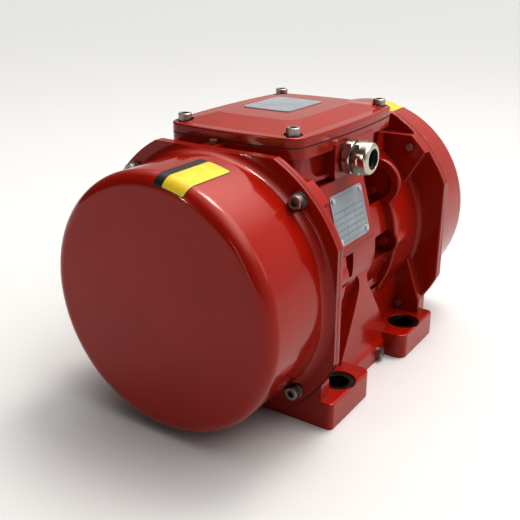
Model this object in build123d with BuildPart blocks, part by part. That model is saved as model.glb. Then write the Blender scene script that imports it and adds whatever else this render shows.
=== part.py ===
from build123d import *
import os
from math import cos, radians, sin

# Overall layout in millimetres: X is the shaft line, Z is up, the gland is on the -Y side
axis_height = 98
foot_spacing_x = 120
foot_spacing_y = 170
foot_hole_radius = 8.5
spot_face_radius = 13.5
spot_face_depth = 1
end_x = 94
foot_step = 2
foot_inner_x = 31.7
foot_top_z = 21
foot_corner_radius = 7
foot_end_radius = 4
foot_edge_radius = 1.5
overlap = 1

# Housing barrel, bearing drums and end flanges
barrel_radius = 73
drum_radius = 80
drum_inner_x = 42
flange_radius = 109
flange_drop = 1.2
flange_half_width = 100.5
flange_top = 95.5
flange_bottom = -93
flange_thickness = 5
flange_edge_radius = 1.2
flange_root_radius = 4.5
bore_radius = 62
seat_radius = 76
seat_x = 80
land_radius = 90.5

# Thick corner pads behind the end flanges, as (y, height above the shaft line)
pad_thickness = 8
upper_pad_points = [(38, 81), (92.2, 81), (68.6, 39.8), (30, 30)]
lower_pad_points = [(76, -27), (89.5, -65), (89.5, -axis_height), (40, -axis_height), (40, -40)]
pad_edge_radius = 1.5
neck_half_width = 89.5
neck_top = -58
neck_inner_y = 42

# Lobes on the drums with the ends of the bearing flange bolts
bolt_circle_radius = 69
lobe_angles = [0, 36, 144, 180, 216, 324]
lobe_radius = 13
lobe_length = 26
lobe_nose_radius = 6
lobe_pocket_radius = 10.2
lobe_pocket_depth = 4
drum_edge_radius = 1.5
proud_lobe_circle = 76.8
proud_lobe_angle = 38.7
proud_lobe_radius = 20
proud_lobe_length = 4
proud_lobe_run = 12
proud_lobe_taper = 45
proud_pocket_radius = 13.3
scoop_start_x = 19
scoop_inner_radius = 64.6
flange_bolt_radius = 4
flange_bolt_head_radius = 6.5
flange_bolt_head_height = 8
flange_bolt_tip_x = 39.5

# Lower body with the walls above the feet, the skirt and the buttress between them
wall_half_width = 66
arch_half_width = 56
skirt_half_width = 81
skirt_top_z = 13.4
buttress_face = [(skirt_half_width, skirt_top_z), (78.5, 17), (77, 25), (76, 45), (74.5, 65)]
buttress_top = (71, axis_height - 5)
buttress_inner_y = 60
buttress_foot_x = 41
buttress_waist = (7, axis_height - 24)
buttress_waist_radius = 14
pocket_roof_z = axis_height - 11.5
pocket_corner_radius = 8

# Terminal box, with heights above the shaft line
rim_top = 97.4
rim_height = 8.4
rim_edge_radius = 1
rim_corner_x = 77
rim_mid_x = 81.5
rim_corner_y = 55.5
rim_mid_y = 60.5
rim_corner_radius = 14
box_inset = 3.5
ledge_inset = 7
ledge_height = 69
box_root = 42
cavity_half_x = 64
cavity_half_y = 47
cavity_floor = 71
cavity_corner_radius = 6
lid_screw_x = 67.3
lid_screw_y = 46.9
lid_boss_radius = 8
lead_hole_x = 50
lead_hole_radius = 7
gland_block_x = (-32, 30)
gland_block_bottom = 65
gland_block_y = 61
gland_block_radius = 7
flank_recess_width = 24
flank_recess_bottom = 72
flank_recess_radius = 13
flank_recess_depth = 10

# Terminal box lid
gasket_thickness = 0.8
lid_rim_height = 6.8
crown_height = 5
crown_base_x = 73
crown_base_y = 52
crown_top_x = 48
crown_top_y = 35
crown_corner_radius = 10
crown_edge_radius = 2
lid_edge_radius = 1.5
lid_pocket_radius = 6.6
lid_pocket_depth = 2
lid_hollow_x = 60
lid_hollow_y = 41
lid_hollow_radius = 8
lid_plate_x = (-21.5, 31.5)
lid_plate_y = (-15, 28)
lid_plate_thickness = 0.5
lid_plate_radius = 5

# Nameplate on its sloping pad
plate_tilt = 15
plate_distance = 75
plate_pad_x = (-56, 16)
plate_pad_s = (-5, 49)
plate_pad_edge_radius = 1
plate_pad_clearance = 12
plate_x = (-43, 7)
plate_s = (0, 39)
plate_thickness = 0.8
plate_corner_radius = 4
rivet_inset = 4
rivet_radius = 1.6
rivet_head_radius = 2.2
rivet_head_height = 1
rivet_length = 5

# Grease bosses
grease_x = 85.5
grease_y = 7
grease_boss_size = 12
grease_boss_top = 95.8
grease_bore_radius = 2.5
grease_bore_depth = 8
grease_plug_radius = 3.1
grease_plug_height = 3

# End covers
seal_thickness = 0.8
cover_outer_radius = 93.5
cover_wall = 3
cover_length = 71.5
cover_flange = 3
cover_rim_radius = 10
cover_root_radius = 8
cover_screw_y = 71
cover_pocket_radius = 7
cover_pocket_length = 14

# Screws with socket heads, and their washers
screw_radius = 3
screw_head_radius = 5
screw_head_height = 6
screw_socket_radius = 2.9
screw_socket_depth = 3
screw_edge = 0.5
washer_radius = 6
washer_thickness = 1.6
cover_screw_length = 21
lid_screw_length = 20

# Cable gland, hexagons measured across the flats
gland_x = -14
gland_height = 82
gland_thread_radius = 10
gland_hex_flats = 24
gland_hex_length = 6.5
gland_hex_round = 13.2
gland_hex_edge = 1
gland_neck_radius = 11
gland_neck_length = 1.5
gland_cap_length = 12
gland_cap_radius = 12.2
gland_cap_round = 3
gland_cap_wall = 2.5
gland_cap_hex_length = 5
gland_bore_radius = 8
gland_seal_bore_radius = 6.5
gland_mouth_radius = 7.6
gland_inner_y = 44
gland_ring_thickness = 1.5
gland_ring_radius = 12

# Shaft, rotor and stator
shaft_radius = 17
bearing_seat_radius = 15
weight_seat_radius = 12.5
shaft_end_x = 150
shaft_end_chamfer = 1.5
core_half_length = 40
rotor_radius = 35.5
rotor_bar_radius = 2.2
rotor_bar_circle = 31
rotor_bar_count = 12
rotor_ring_inner = 24
rotor_ring_outer = 34.5
rotor_ring_length = 8
stator_inner_radius = 36
slot_count = 12
slot_length = 14
slot_width = 9
slot_circle = 46
winding_inner_radius = 38
winding_outer_radius = 57
winding_end_x = 57
winding_edge_radius = 4

# Roller bearings and the flanges that hold them
bearing_inner_x = 64
bearing_outer_x = 91
inner_ring_outer_radius = 20.5
outer_ring_inner_radius = 31.5
bearing_outer_radius = 36
roller_radius = 5.2
roller_circle_radius = 26
roller_count = 12
roller_half_length = 9.5
roller_pocket_play = 0.1
rib_inner_radius = 28.2
cage_inner_radius = 24.6
cage_outer_radius = 27.4
cage_half_length = 12.5
rib_width = 2.5
bearing_hub_radius = 46
bearing_hub_inner_x = 60
spigot_inner_x = 70
bearing_flange_outer_x = 93
bearing_flange_plate_radius = 75.9
lip_radius = 26
circlip_thickness = 1.5
circlip_groove_radius = 38
circlip_inner_radius = 33
seal_running_radius = 17.05

# Eccentric weights
spacer_outer_x = 99
spacer_radius = 18
fixed_weight_x = (99, 119)
adjustable_weight_x = (120, 140)
weight_radius = 82
weight_hub_radius = 24
weight_running_radius = 12.53
key_width = 8
key_height = 7
key_depth = 4
clamp_half_width = 15
clamp_top = 34
clamp_slot = 3
clamp_screw_z = 26
clamp_recess_depth = 7
end_ring_x = (140.3, 142.3)
end_ring_radius = 17
end_groove_radius = 11.5

# Terminal block, connections and earth screws
block_centre_x = 8
block_half_x = 32
block_half_y = 18
block_height = 9
barrier_thickness = 2
barrier_height = 5
stud_spacing = 20
stud_row_y = 9
stud_radius = 2.5
stud_height = 21
nut_flats = 8
nut_height = 4
link_thickness = 1.2
link_width = 9
block_screw_radius = 2
block_screw_head_radius = 3.3
block_screw_head_height = 2.8
block_screw_x = 28
block_screw_length = 7
earth_x = 20
earth_z = 6.8
earth_head_radius = 4
earth_head_height = 3
earth_radius = 2.5
earth_length = 9
earth_washer_radius = 5
earth_washer_thickness = 1
inner_earth_x = -48
inner_earth_y = 30
inner_earth_boss_radius = 7
inner_earth_boss_height = 4

# Derived positions
foot_half_width = flange_half_width - foot_step
rim_top_z = axis_height + rim_top
rim_bottom_z = rim_top_z - rim_height
cavity_floor_z = axis_height + cavity_floor
lid_bottom_z = rim_top_z + gasket_thickness
lid_rim_top_z = lid_bottom_z + lid_rim_height
lid_top_z = lid_rim_top_z + crown_height
lid_seat_z = lid_rim_top_z - lid_pocket_depth
gland_z = axis_height + gland_height
grease_boss_top_z = axis_height + grease_boss_top
stud_top_z = cavity_floor_z + stud_height
cover_face_x = end_x + seal_thickness
cover_flange_x = cover_face_x + cover_flange
cover_end_x = end_x + cover_length
cover_screw_tip_x = cover_flange_x + washer_thickness - cover_screw_length
shaft_line = Axis((0, 0, axis_height), (1, 0, 0))
profile_plane = Plane(origin=(0, 0, axis_height), x_dir=(1, 0, 0), z_dir=(0, -1, 0))
gland_seat_y = gland_block_y + gland_ring_thickness
both_sides = (-1, 1)
cover_screws_at = [(y * cover_screw_y, z * cover_screw_y) for y in both_sides for z in both_sides]
lid_screws_at = [(x * lid_screw_x, y * lid_screw_y) for x in both_sides for y in both_sides]
feet_at = [(x * foot_spacing_x / 2, y * foot_spacing_y / 2) for x in both_sides for y in both_sides]
block_screws_at = [(block_centre_x + side * block_screw_x, 0) for side in both_sides]
clamp_screw_at = (sum(adjustable_weight_x) / 2, axis_height + clamp_screw_z)
key_bottom_z = axis_height + weight_seat_radius - key_depth
key_z = (key_bottom_z, key_bottom_z + key_height)
rivets_at = [(x, s) for x in (plate_x[0] + rivet_inset, plate_x[1] - rivet_inset)
             for s in (plate_s[0] + rivet_inset, plate_s[1] - rivet_inset)]
flange_bolts_at = [(bolt_circle_radius * cos(radians(angle)), bolt_circle_radius * sin(radians(angle)))
                   for angle in lobe_angles]
proud_lobe_y = proud_lobe_circle * cos(radians(proud_lobe_angle))
proud_lobe_height = proud_lobe_circle * sin(radians(proud_lobe_angle))
rear_proud_lobes = [(side * proud_lobe_y, proud_lobe_height) for side in both_sides]
front_proud_lobes = [(proud_lobe_y, proud_lobe_height)]
plate_normal = (0, -cos(radians(plate_tilt)), sin(radians(plate_tilt)))
plate_plane = Plane(
    origin=(0, plate_distance * plate_normal[1], axis_height + plate_distance * plate_normal[2]),
    x_dir=(1, 0, 0),
    z_dir=plate_normal,
)


def section_plane(x):
    """Plane square to the shaft line: local x is Y and local y is height above the line."""
    return Plane(origin=(x, 0, axis_height), x_dir=(0, 1, 0), z_dir=(1, 0, 0))


def side_plane(y):
    """Plane facing the gland side: local x is X and local y is Z."""
    return Plane(origin=(0, -y, 0), x_dir=(1, 0, 0), z_dir=(0, -1, 0))


def nearest_vertex(candidates, point):
    """Vertex of the list closest to a point of the sketch."""
    return candidates.sort_by_distance((point[0], point[1], 0))[0]


def tube(x_from, x_to, outer, inner):
    """Tube on the shaft line."""
    with BuildPart() as piece:
        with BuildSketch(section_plane(x_from)):
            Circle(outer)
            Circle(inner, mode=Mode.SUBTRACT)
        extrude(amount=x_to - x_from)
    return piece.part


def spread(x_range):
    """Length and middle of a range."""
    return x_range[1] - x_range[0], (x_range[0] + x_range[1]) / 2


def bar(x_range, y_range, z_range):
    """Block between three ranges."""
    length, middle_x = spread(x_range)
    width, middle_y = spread(y_range)
    height = z_range[1] - z_range[0]
    with BuildPart() as piece:
        with BuildSketch(Plane.XY.offset(z_range[0])):
            with Locations((middle_x, middle_y)):
                Rectangle(length, width)
        extrude(amount=height)
    return piece.part


def cap_screw(seat, shank_length):
    """Socket cap screw whose head stands on the seat plane."""
    with BuildPart() as piece:
        with BuildSketch(seat):
            Circle(screw_head_radius)
        extrude(amount=screw_head_height)
        chamfer(piece.edges().group_by(Axis(seat.origin, seat.z_dir))[-1], screw_edge)
        with BuildSketch(seat.offset(screw_head_height)):
            RegularPolygon(screw_socket_radius, 6)
        extrude(amount=-screw_socket_depth, mode=Mode.SUBTRACT)
        with BuildSketch(seat):
            Circle(screw_radius)
        extrude(amount=-shank_length)
    return piece.part


def washer(seat, outer, inner, thickness):
    """Flat washer lying on the seat plane."""
    with BuildPart() as piece:
        with BuildSketch(seat):
            Circle(outer)
            Circle(inner, mode=Mode.SUBTRACT)
        extrude(amount=thickness)
    return piece.part


def axial_seat(x, position):
    """Seat plane facing +X at a position of the end view."""
    return Plane(origin=(x, position[0], axis_height + position[1]), z_dir=(1, 0, 0))


def chamfered_hexagon(y, length):
    """Hexagon of the cable gland with turned corners, from this distance outwards."""
    with BuildPart() as piece:
        with BuildSketch(side_plane(y)):
            with Locations((gland_x, gland_z)):
                Circle(gland_hex_round)
        extrude(amount=length)
        chamfer(piece.faces().filter_by(Axis.Y).edges(), gland_hex_edge)
        with BuildSketch(side_plane(y)):
            with Locations((gland_x, gland_z)):
                RegularPolygon(gland_hex_flats / 2, 6, major_radius=False)
        extrude(amount=length, mode=Mode.INTERSECT)
    return piece.part


def end_outline(x, amount, with_neck):
    """End flange: a circle cut straight on four sides, with the neck down to the feet when asked."""
    height = flange_top - flange_bottom
    with BuildPart() as piece:
        with BuildSketch(section_plane(x)):
            with Locations((0, -flange_drop)):
                Circle(flange_radius)
            with Locations((0, (flange_top + flange_bottom) / 2)):
                Rectangle(2 * flange_half_width, height, mode=Mode.INTERSECT)
            if with_neck:
                neck_height = neck_top + axis_height
                neck_width = neck_half_width - neck_inner_y
                for side in both_sides:
                    with Locations((side * (neck_inner_y + neck_width / 2), neck_top - neck_height / 2)):
                        Rectangle(neck_width, neck_height)
        extrude(amount=amount)
    return piece.part


def box_outline(z, inset):
    """Face of the terminal box outline, with slightly bowed sides."""
    corner_x = rim_corner_x - inset
    corner_y = rim_corner_y - inset
    bow_x = rim_mid_x - inset
    bow_y = rim_mid_y - inset
    with BuildSketch(Plane.XY.offset(z)) as outline:
        with BuildLine():
            ThreePointArc((-corner_x, -corner_y), (0, -bow_y), (corner_x, -corner_y))
            ThreePointArc((corner_x, -corner_y), (bow_x, 0), (corner_x, corner_y))
            ThreePointArc((corner_x, corner_y), (0, bow_y), (-corner_x, corner_y))
            ThreePointArc((-corner_x, corner_y), (-bow_x, 0), (-corner_x, -corner_y))
        make_face()
        fillet(outline.vertices(), rim_corner_radius - inset)
    return outline.sketch


def rear_drum(proud_positions):
    """Bearing drum of the rear end with its bolt lobes, as a solid before it is bored."""
    with BuildPart() as piece:
        with BuildSketch(section_plane(drum_inner_x)):
            Circle(drum_radius)
        extrude(amount=end_x - drum_inner_x)
        fillet(piece.edges().sort_by(Axis.X)[0], drum_edge_radius)
        for centre in flange_bolts_at:
            with BuildPart(mode=Mode.PRIVATE) as lobe:
                with BuildSketch(section_plane(drum_inner_x)):
                    with Locations(centre):
                        Circle(lobe_radius)
                extrude(amount=lobe_length)
                fillet(lobe.edges().sort_by(Axis.X)[-1], lobe_nose_radius)
                fillet(lobe.edges().sort_by(Axis.X)[0], drum_edge_radius)
            add(lobe.part)
        for centre in proud_positions:
            with BuildPart(mode=Mode.PRIVATE) as proud_lobe:
                with BuildSketch(section_plane(drum_inner_x)):
                    with Locations(centre):
                        Circle(proud_lobe_radius)
                extrude(amount=proud_lobe_length)
                with BuildSketch(section_plane(drum_inner_x + proud_lobe_length)):
                    with Locations(centre):
                        Circle(proud_lobe_radius)
                extrude(amount=proud_lobe_run, taper=proud_lobe_taper)
                fillet(proud_lobe.edges().sort_by(Axis.X)[0], drum_edge_radius)
            add(proud_lobe.part)
    return piece.part


def rear_scoops(proud_positions, kept_bolts):
    """Scoops round the bolt ends, as solids to cut away; the bore wall is left standing."""
    with BuildPart() as piece:
        with BuildSketch(section_plane(scoop_start_x)):
            with Locations(*kept_bolts):
                Circle(lobe_pocket_radius)
            with Locations(*proud_positions):
                Circle(proud_pocket_radius)
            Circle(scoop_inner_radius, mode=Mode.SUBTRACT)
        extrude(amount=drum_inner_x + lobe_pocket_depth - scoop_start_x)
    return piece.part


def root_ring(x, radius, fillet_radius):
    """Ring with a hollow quarter-round section, where a drum of this radius meets a face at x."""
    with BuildPart() as piece:
        with BuildSketch(profile_plane):
            with BuildLine():
                Polyline((x - fillet_radius, radius), (x - fillet_radius, radius - overlap),
                         (x + overlap, radius - overlap), (x + overlap, radius + fillet_radius),
                         (x, radius + fillet_radius))
                RadiusArc((x, radius + fillet_radius), (x - fillet_radius, radius), fillet_radius)
            make_face()
        revolve(axis=shaft_line)
    return piece.part


def cavity_sketch():
    """Opening of the terminal box, with room left for the four screw bosses."""
    with BuildSketch() as opening:
        Rectangle(2 * cavity_half_x, 2 * cavity_half_y)
        fillet(opening.vertices(), cavity_corner_radius)
        with Locations(*lid_screws_at):
            Circle(lid_boss_radius, mode=Mode.SUBTRACT)
    return opening.sketch


# Housing: one casting with barrel, drums, flanges, feet, webs and terminal box
with BuildPart() as motor_housing:
    with BuildSketch(section_plane(-drum_inner_x)):
        Circle(barrel_radius)
    extrude(amount=2 * drum_inner_x)

    # Walls above the feet, closed by the drums and barrel
    for side in both_sides:
        add(bar((-end_x, end_x), sorted((side * arch_half_width, side * wall_half_width)), (0, axis_height)))

    add(rear_drum(rear_proud_lobes))
    mirror(rear_drum(front_proud_lobes), about=Plane.YZ)

    # Feet with rounded corners, and the skirt that joins them
    for side_y in both_sides:
        for side_x in both_sides:
            length, middle_x = spread((side_x * foot_inner_x, side_x * end_x))
            width, middle_y = spread((side_y * arch_half_width, side_y * foot_half_width))
            with BuildPart(mode=Mode.PRIVATE) as foot:
                with BuildSketch(Plane.XY):
                    with BuildSketch(mode=Mode.PRIVATE) as outline:
                        with Locations((middle_x, middle_y)):
                            Rectangle(abs(length), abs(width))
                        inner_corner = (side_x * foot_inner_x, side_y * foot_half_width)
                        fillet(nearest_vertex(outline.vertices(), inner_corner), foot_corner_radius)
                        end_corner = (side_x * end_x, side_y * foot_half_width)
                        fillet(nearest_vertex(outline.vertices(), end_corner), foot_end_radius)
                    add(outline.sketch)
                extrude(amount=foot_top_z)
                fillet(foot.faces().sort_by(Axis.Z)[-1].edges(), foot_edge_radius)
            add(foot.part)
        skirt_y = sorted((side_y * arch_half_width, side_y * skirt_half_width))
        add(bar((-foot_inner_x - overlap, foot_inner_x + overlap), skirt_y, (0, skirt_top_z)))

    # Buttress that spreads from the barrel to the skirt, with the arched pockets over the feet
    for side_y in both_sides:
        with BuildPart(mode=Mode.PRIVATE) as buttress:
            with BuildSketch(Plane.YZ.offset(-drum_inner_x)):
                with BuildLine():
                    face = [(side_y * y, z) for y, z in buttress_face]
                    face.append((side_y * buttress_top[0], buttress_top[1]))
                    Spline(face)
                    Polyline(face[-1], (side_y * buttress_inner_y, buttress_top[1]),
                             (side_y * buttress_inner_y, 0), (side_y * skirt_half_width, 0), face[0])
                make_face()
            extrude(amount=2 * drum_inner_x)
            for side_x in both_sides:
                with BuildSketch(Plane.XZ.offset(-foot_half_width)):
                    with BuildSketch(mode=Mode.PRIVATE) as pocket:
                        with BuildLine():
                            Polyline((side_x * buttress_foot_x, 0), (side_x * buttress_foot_x, foot_top_z),
                                     (side_x * buttress_waist[0], buttress_waist[1]),
                                     (side_x * buttress_waist[0], pocket_roof_z),
                                     (side_x * (drum_inner_x - pocket_corner_radius), pocket_roof_z),
                                     (side_x * drum_inner_x, pocket_roof_z - pocket_corner_radius),
                                     (side_x * drum_inner_x, 0), close=True)
                        make_face()
                        waist = (side_x * buttress_waist[0], buttress_waist[1])
                        roof_corner = (side_x * buttress_waist[0], pocket_roof_z)
                        fillet(nearest_vertex(pocket.vertices(), waist), buttress_waist_radius)
                        fillet(nearest_vertex(pocket.vertices(), roof_corner), pocket_corner_radius)
                    add(pocket.sketch)
                extrude(amount=2 * foot_half_width, mode=Mode.SUBTRACT)
        add(buttress.part)

    # End flanges with the thick corner pads behind them
    for side in both_sides:
        with BuildPart(mode=Mode.PRIVATE) as flange:
            add(end_outline(side * end_x, -side * flange_thickness, True))
            inner_face = flange.faces().sort_by(Axis.X)[0 if side > 0 else -1]
            fillet(inner_face.edges(), flange_edge_radius)
        add(flange.part)
        pad_x = side * (end_x - flange_thickness - pad_thickness)
        pad_depth = side * (pad_thickness + flange_thickness / 2)
        with BuildPart(mode=Mode.PRIVATE) as pads:
            with BuildSketch(section_plane(pad_x)):
                for side_y in both_sides:
                    for points in (upper_pad_points, lower_pad_points):
                        with BuildLine():
                            Polyline([(side_y * y, z) for y, z in points], close=True)
                        make_face()
            extrude(amount=pad_depth)
            add(end_outline(pad_x, pad_depth, True), mode=Mode.INTERSECT)
            fillet(pads.faces().group_by(Axis.X)[0 if side > 0 else -1].edges(), pad_edge_radius)
        add(pads.part)
    rear_root = root_ring(end_x - flange_thickness, drum_radius, flange_root_radius)
    add(rear_root)
    mirror(rear_root, about=Plane.YZ)

    # Terminal box walls, rim and gland block
    with BuildSketch(Plane.XY.offset(axis_height + box_root)):
        add(box_outline(0, ledge_inset))
    extrude(amount=rim_bottom_z - axis_height - box_root)
    with BuildSketch(Plane.XY.offset(axis_height + ledge_height)):
        add(box_outline(0, box_inset))
    extrude(amount=rim_bottom_z - axis_height - ledge_height)
    with BuildPart(mode=Mode.PRIVATE) as rim:
        with BuildSketch(Plane.XY.offset(rim_bottom_z)):
            add(box_outline(0, 0))
        extrude(amount=rim_height)
        fillet(rim.faces().sort_by(Axis.Z)[0].edges(), rim_edge_radius)
    add(rim.part)
    with BuildSketch(Plane.XZ):
        with BuildSketch(mode=Mode.PRIVATE) as block:
            length, middle_x = spread(gland_block_x)
            height, middle_z = spread((axis_height + gland_block_bottom, rim_bottom_z + rim_height / 2))
            with Locations((middle_x, middle_z)):
                Rectangle(length, height)
            fillet(block.vertices().group_by(Axis.Y)[0], gland_block_radius)
        add(block.sketch)
    extrude(amount=gland_block_y)

    # Sloping pad for the nameplate
    pad_length, pad_middle = spread(plate_pad_x)
    pad_height, pad_centre = spread(plate_pad_s)
    with BuildPart(mode=Mode.PRIVATE) as plate_pad:
        with BuildSketch(plate_plane):
            with Locations((pad_middle, pad_centre)):
                Rectangle(pad_length, pad_height)
        extrude(amount=-plate_distance / 2)
        front = plate_pad.faces().sort_by(Axis(plate_plane.origin, plate_plane.z_dir))[-1]
        fillet(front.edges(), plate_pad_edge_radius)
    with BuildSketch(plate_plane):
        with Locations((pad_middle, pad_centre)):
            Rectangle(pad_length, pad_height)
    extrude(amount=plate_pad_clearance, mode=Mode.SUBTRACT)
    add(plate_pad.part)

    # Grease bosses between the box and the end flanges
    for side in both_sides:
        boss_x = (side * grease_x - grease_boss_size / 2, side * grease_x + grease_boss_size / 2)
        boss_y = (grease_y - grease_boss_size / 2, grease_y + grease_boss_size / 2)
        add(bar(boss_x, boss_y, (axis_height + seat_radius + overlap, grease_boss_top_z)))

    # Bore for the stator, wider seats for the bearing flanges, and the scoops in the lobes
    with BuildSketch(section_plane(-end_x)):
        Circle(bore_radius)
    extrude(amount=2 * end_x, mode=Mode.SUBTRACT)
    rear_bolts = rear_scoops(rear_proud_lobes, flange_bolts_at)
    add(rear_bolts, mode=Mode.SUBTRACT)
    front_bolts_clear_of_plate = [(y, z) for y, z in flange_bolts_at if y > 0 or z < lobe_radius]
    mirror(rear_scoops(front_proud_lobes, front_bolts_clear_of_plate), about=Plane.YZ, mode=Mode.SUBTRACT)
    for side in both_sides:
        with BuildSketch(section_plane(side * seat_x)):
            Circle(seat_radius)
        extrude(amount=side * (end_x - seat_x), mode=Mode.SUBTRACT)
        with BuildSketch(section_plane(side * flange_bolt_tip_x)):
            with Locations(*flange_bolts_at):
                Circle(flange_bolt_radius)
        extrude(amount=side * (seat_x - flange_bolt_tip_x), mode=Mode.SUBTRACT)
        with BuildSketch(section_plane(side * end_x)):
            with Locations(*cover_screws_at):
                Circle(screw_radius)
        extrude(amount=-side * (end_x - cover_screw_tip_x), mode=Mode.SUBTRACT)

    # Foot holes with their spot faces
    with BuildSketch(Plane.XY.offset(foot_top_z - spot_face_depth)):
        with Locations(*feet_at):
            Circle(spot_face_radius)
    extrude(amount=2 * spot_face_depth, mode=Mode.SUBTRACT)
    with BuildSketch(Plane.XY):
        with Locations(*feet_at):
            Circle(foot_hole_radius)
    extrude(amount=foot_top_z, mode=Mode.SUBTRACT)

    # Terminal box cavity with its screw holes, lead hole, gland hole and earth boss
    with BuildSketch(Plane.XY.offset(cavity_floor_z)):
        add(cavity_sketch())
    extrude(amount=rim_top_z - cavity_floor_z, mode=Mode.SUBTRACT)
    with BuildSketch(Plane.XY.offset(cavity_floor_z)):
        with Locations((inner_earth_x, inner_earth_y)):
            Circle(inner_earth_boss_radius)
    extrude(amount=inner_earth_boss_height)
    with BuildSketch(Plane.XY.offset(rim_top_z)):
        with Locations(*lid_screws_at):
            Circle(screw_radius)
    extrude(amount=lid_seat_z - lid_screw_length - rim_top_z, mode=Mode.SUBTRACT)
    with BuildSketch(Plane.XY.offset(cavity_floor_z)):
        with Locations((lead_hole_x, 0)):
            Circle(lead_hole_radius)
    extrude(amount=axis_height + bore_radius / 2 - cavity_floor_z, mode=Mode.SUBTRACT)
    with BuildSketch(side_plane(gland_block_y)):
        with Locations((gland_x, gland_z)):
            Circle(gland_thread_radius)
    extrude(amount=cavity_half_y - gland_block_y - overlap, mode=Mode.SUBTRACT)
    for side, edge_x in zip(both_sides, gland_block_x):
        with BuildSketch(Plane.XZ.offset(gland_block_y)):
            with BuildSketch(mode=Mode.PRIVATE) as recess:
                outer_x = edge_x + side * flank_recess_width
                length, middle_x = spread((edge_x, outer_x))
                height, middle_z = spread((axis_height + flank_recess_bottom, rim_bottom_z))
                with Locations((middle_x, middle_z)):
                    Rectangle(abs(length), height)
                low_corner = (outer_x, axis_height + flank_recess_bottom)
                fillet(nearest_vertex(recess.vertices(), low_corner), flank_recess_radius)
            add(recess.sketch)
        extrude(amount=-flank_recess_depth, mode=Mode.SUBTRACT)

    # Tapped holes for the small screws, the grease plugs and the rivets
    with BuildSketch(Plane.XY.offset(cavity_floor_z)):
        with Locations(*block_screws_at):
            Circle(block_screw_radius)
    extrude(amount=-block_screw_length, mode=Mode.SUBTRACT)
    with BuildSketch(Plane.XY.offset(cavity_floor_z + inner_earth_boss_height)):
        with Locations((inner_earth_x, inner_earth_y)):
            Circle(earth_radius)
    extrude(amount=-earth_length, mode=Mode.SUBTRACT)
    with BuildSketch(side_plane(skirt_half_width)):
        with Locations((earth_x, earth_z)):
            Circle(earth_radius)
    extrude(amount=-earth_length, mode=Mode.SUBTRACT)
    with BuildSketch(Plane.XY.offset(grease_boss_top_z)):
        with Locations((-grease_x, grease_y), (grease_x, grease_y)):
            Circle(grease_bore_radius)
    extrude(amount=-grease_bore_depth, mode=Mode.SUBTRACT)
    with BuildSketch(plate_plane):
        with Locations(*rivets_at):
            Circle(rivet_radius)
    extrude(amount=plate_thickness - rivet_length, mode=Mode.SUBTRACT)
motor_housing.part.label = "motor_housing"

# End covers: deep cups turned to a profile, cut to the flange outline
with BuildPart() as rear_cover:
    with BuildSketch(profile_plane):
        with BuildSketch(mode=Mode.PRIVATE) as skin:
            with BuildLine():
                Polyline((cover_face_x, 0), (cover_face_x, flange_radius), (cover_flange_x, flange_radius),
                         (cover_flange_x, cover_outer_radius), (cover_end_x, cover_outer_radius),
                         (cover_end_x, 0), close=True)
            make_face()
            fillet(nearest_vertex(skin.vertices(), (cover_flange_x, cover_outer_radius)), cover_root_radius)
            fillet(nearest_vertex(skin.vertices(), (cover_end_x, cover_outer_radius)), cover_rim_radius)
        add(skin.sketch)
    revolve(axis=shaft_line)
    add(end_outline(cover_face_x, cover_length, False), mode=Mode.INTERSECT)
    with BuildSketch(profile_plane):
        with BuildSketch(mode=Mode.PRIVATE) as hollow:
            with BuildLine():
                inner_radius = cover_outer_radius - cover_wall
                Polyline((cover_face_x, 0), (cover_face_x, inner_radius),
                         (cover_end_x - cover_wall, inner_radius), (cover_end_x - cover_wall, 0), close=True)
            make_face()
            fillet(nearest_vertex(hollow.vertices(), (cover_end_x - cover_wall, inner_radius)),
                   cover_rim_radius - cover_wall)
        add(hollow.sketch)
    revolve(axis=shaft_line, mode=Mode.SUBTRACT)
    with BuildSketch(section_plane(cover_flange_x)):
        with Locations(*cover_screws_at):
            Circle(cover_pocket_radius)
    extrude(amount=cover_pocket_length, mode=Mode.SUBTRACT)
    with BuildSketch(section_plane(cover_face_x)):
        with Locations(*cover_screws_at):
            Circle(screw_radius)
    extrude(amount=cover_flange, mode=Mode.SUBTRACT)
rear_cover.part.label = "rear_cover"

with BuildPart() as rear_cover_seal:
    add(end_outline(end_x, seal_thickness, False))
    with BuildSketch(section_plane(end_x)):
        Circle(land_radius)
        with Locations(*cover_screws_at):
            Circle(screw_radius)
    extrude(amount=seal_thickness, mode=Mode.SUBTRACT)
rear_cover_seal.part.label = "rear_cover_seal"

with BuildPart() as rear_cover_screws:
    for position in cover_screws_at:
        add(cap_screw(axial_seat(cover_flange_x + washer_thickness, position), cover_screw_length))
rear_cover_screws.part.label = "rear_cover_screws"

with BuildPart() as rear_cover_washers:
    for position in cover_screws_at:
        add(washer(axial_seat(cover_flange_x, position), washer_radius, screw_radius, washer_thickness))
rear_cover_washers.part.label = "rear_cover_washers"

# Bearing flange: plate, spigot in the bore and hub round the bearing
with BuildPart() as rear_bearing_flange:
    add(tube(seat_x, bearing_flange_outer_x, bearing_flange_plate_radius, bearing_outer_radius))
    add(tube(spigot_inner_x, seat_x, bore_radius, bearing_outer_radius))
    add(tube(bearing_inner_x, spigot_inner_x, bearing_hub_radius, bearing_outer_radius))
    add(tube(bearing_hub_inner_x, bearing_inner_x, bearing_hub_radius, lip_radius))
    add(tube(bearing_outer_x, bearing_outer_x + circlip_thickness, circlip_groove_radius, lip_radius),
        mode=Mode.SUBTRACT)
    for centre in flange_bolts_at:
        with BuildSketch(section_plane(seat_x)):
            with Locations(centre):
                Circle(flange_bolt_radius)
        extrude(amount=bearing_flange_outer_x - seat_x, mode=Mode.SUBTRACT)
        with BuildSketch(section_plane(bearing_flange_outer_x)):
            with Locations(centre):
                Circle(flange_bolt_head_radius)
        extrude(amount=-flange_bolt_head_height, mode=Mode.SUBTRACT)
rear_bearing_flange.part.label = "rear_bearing_flange"

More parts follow.
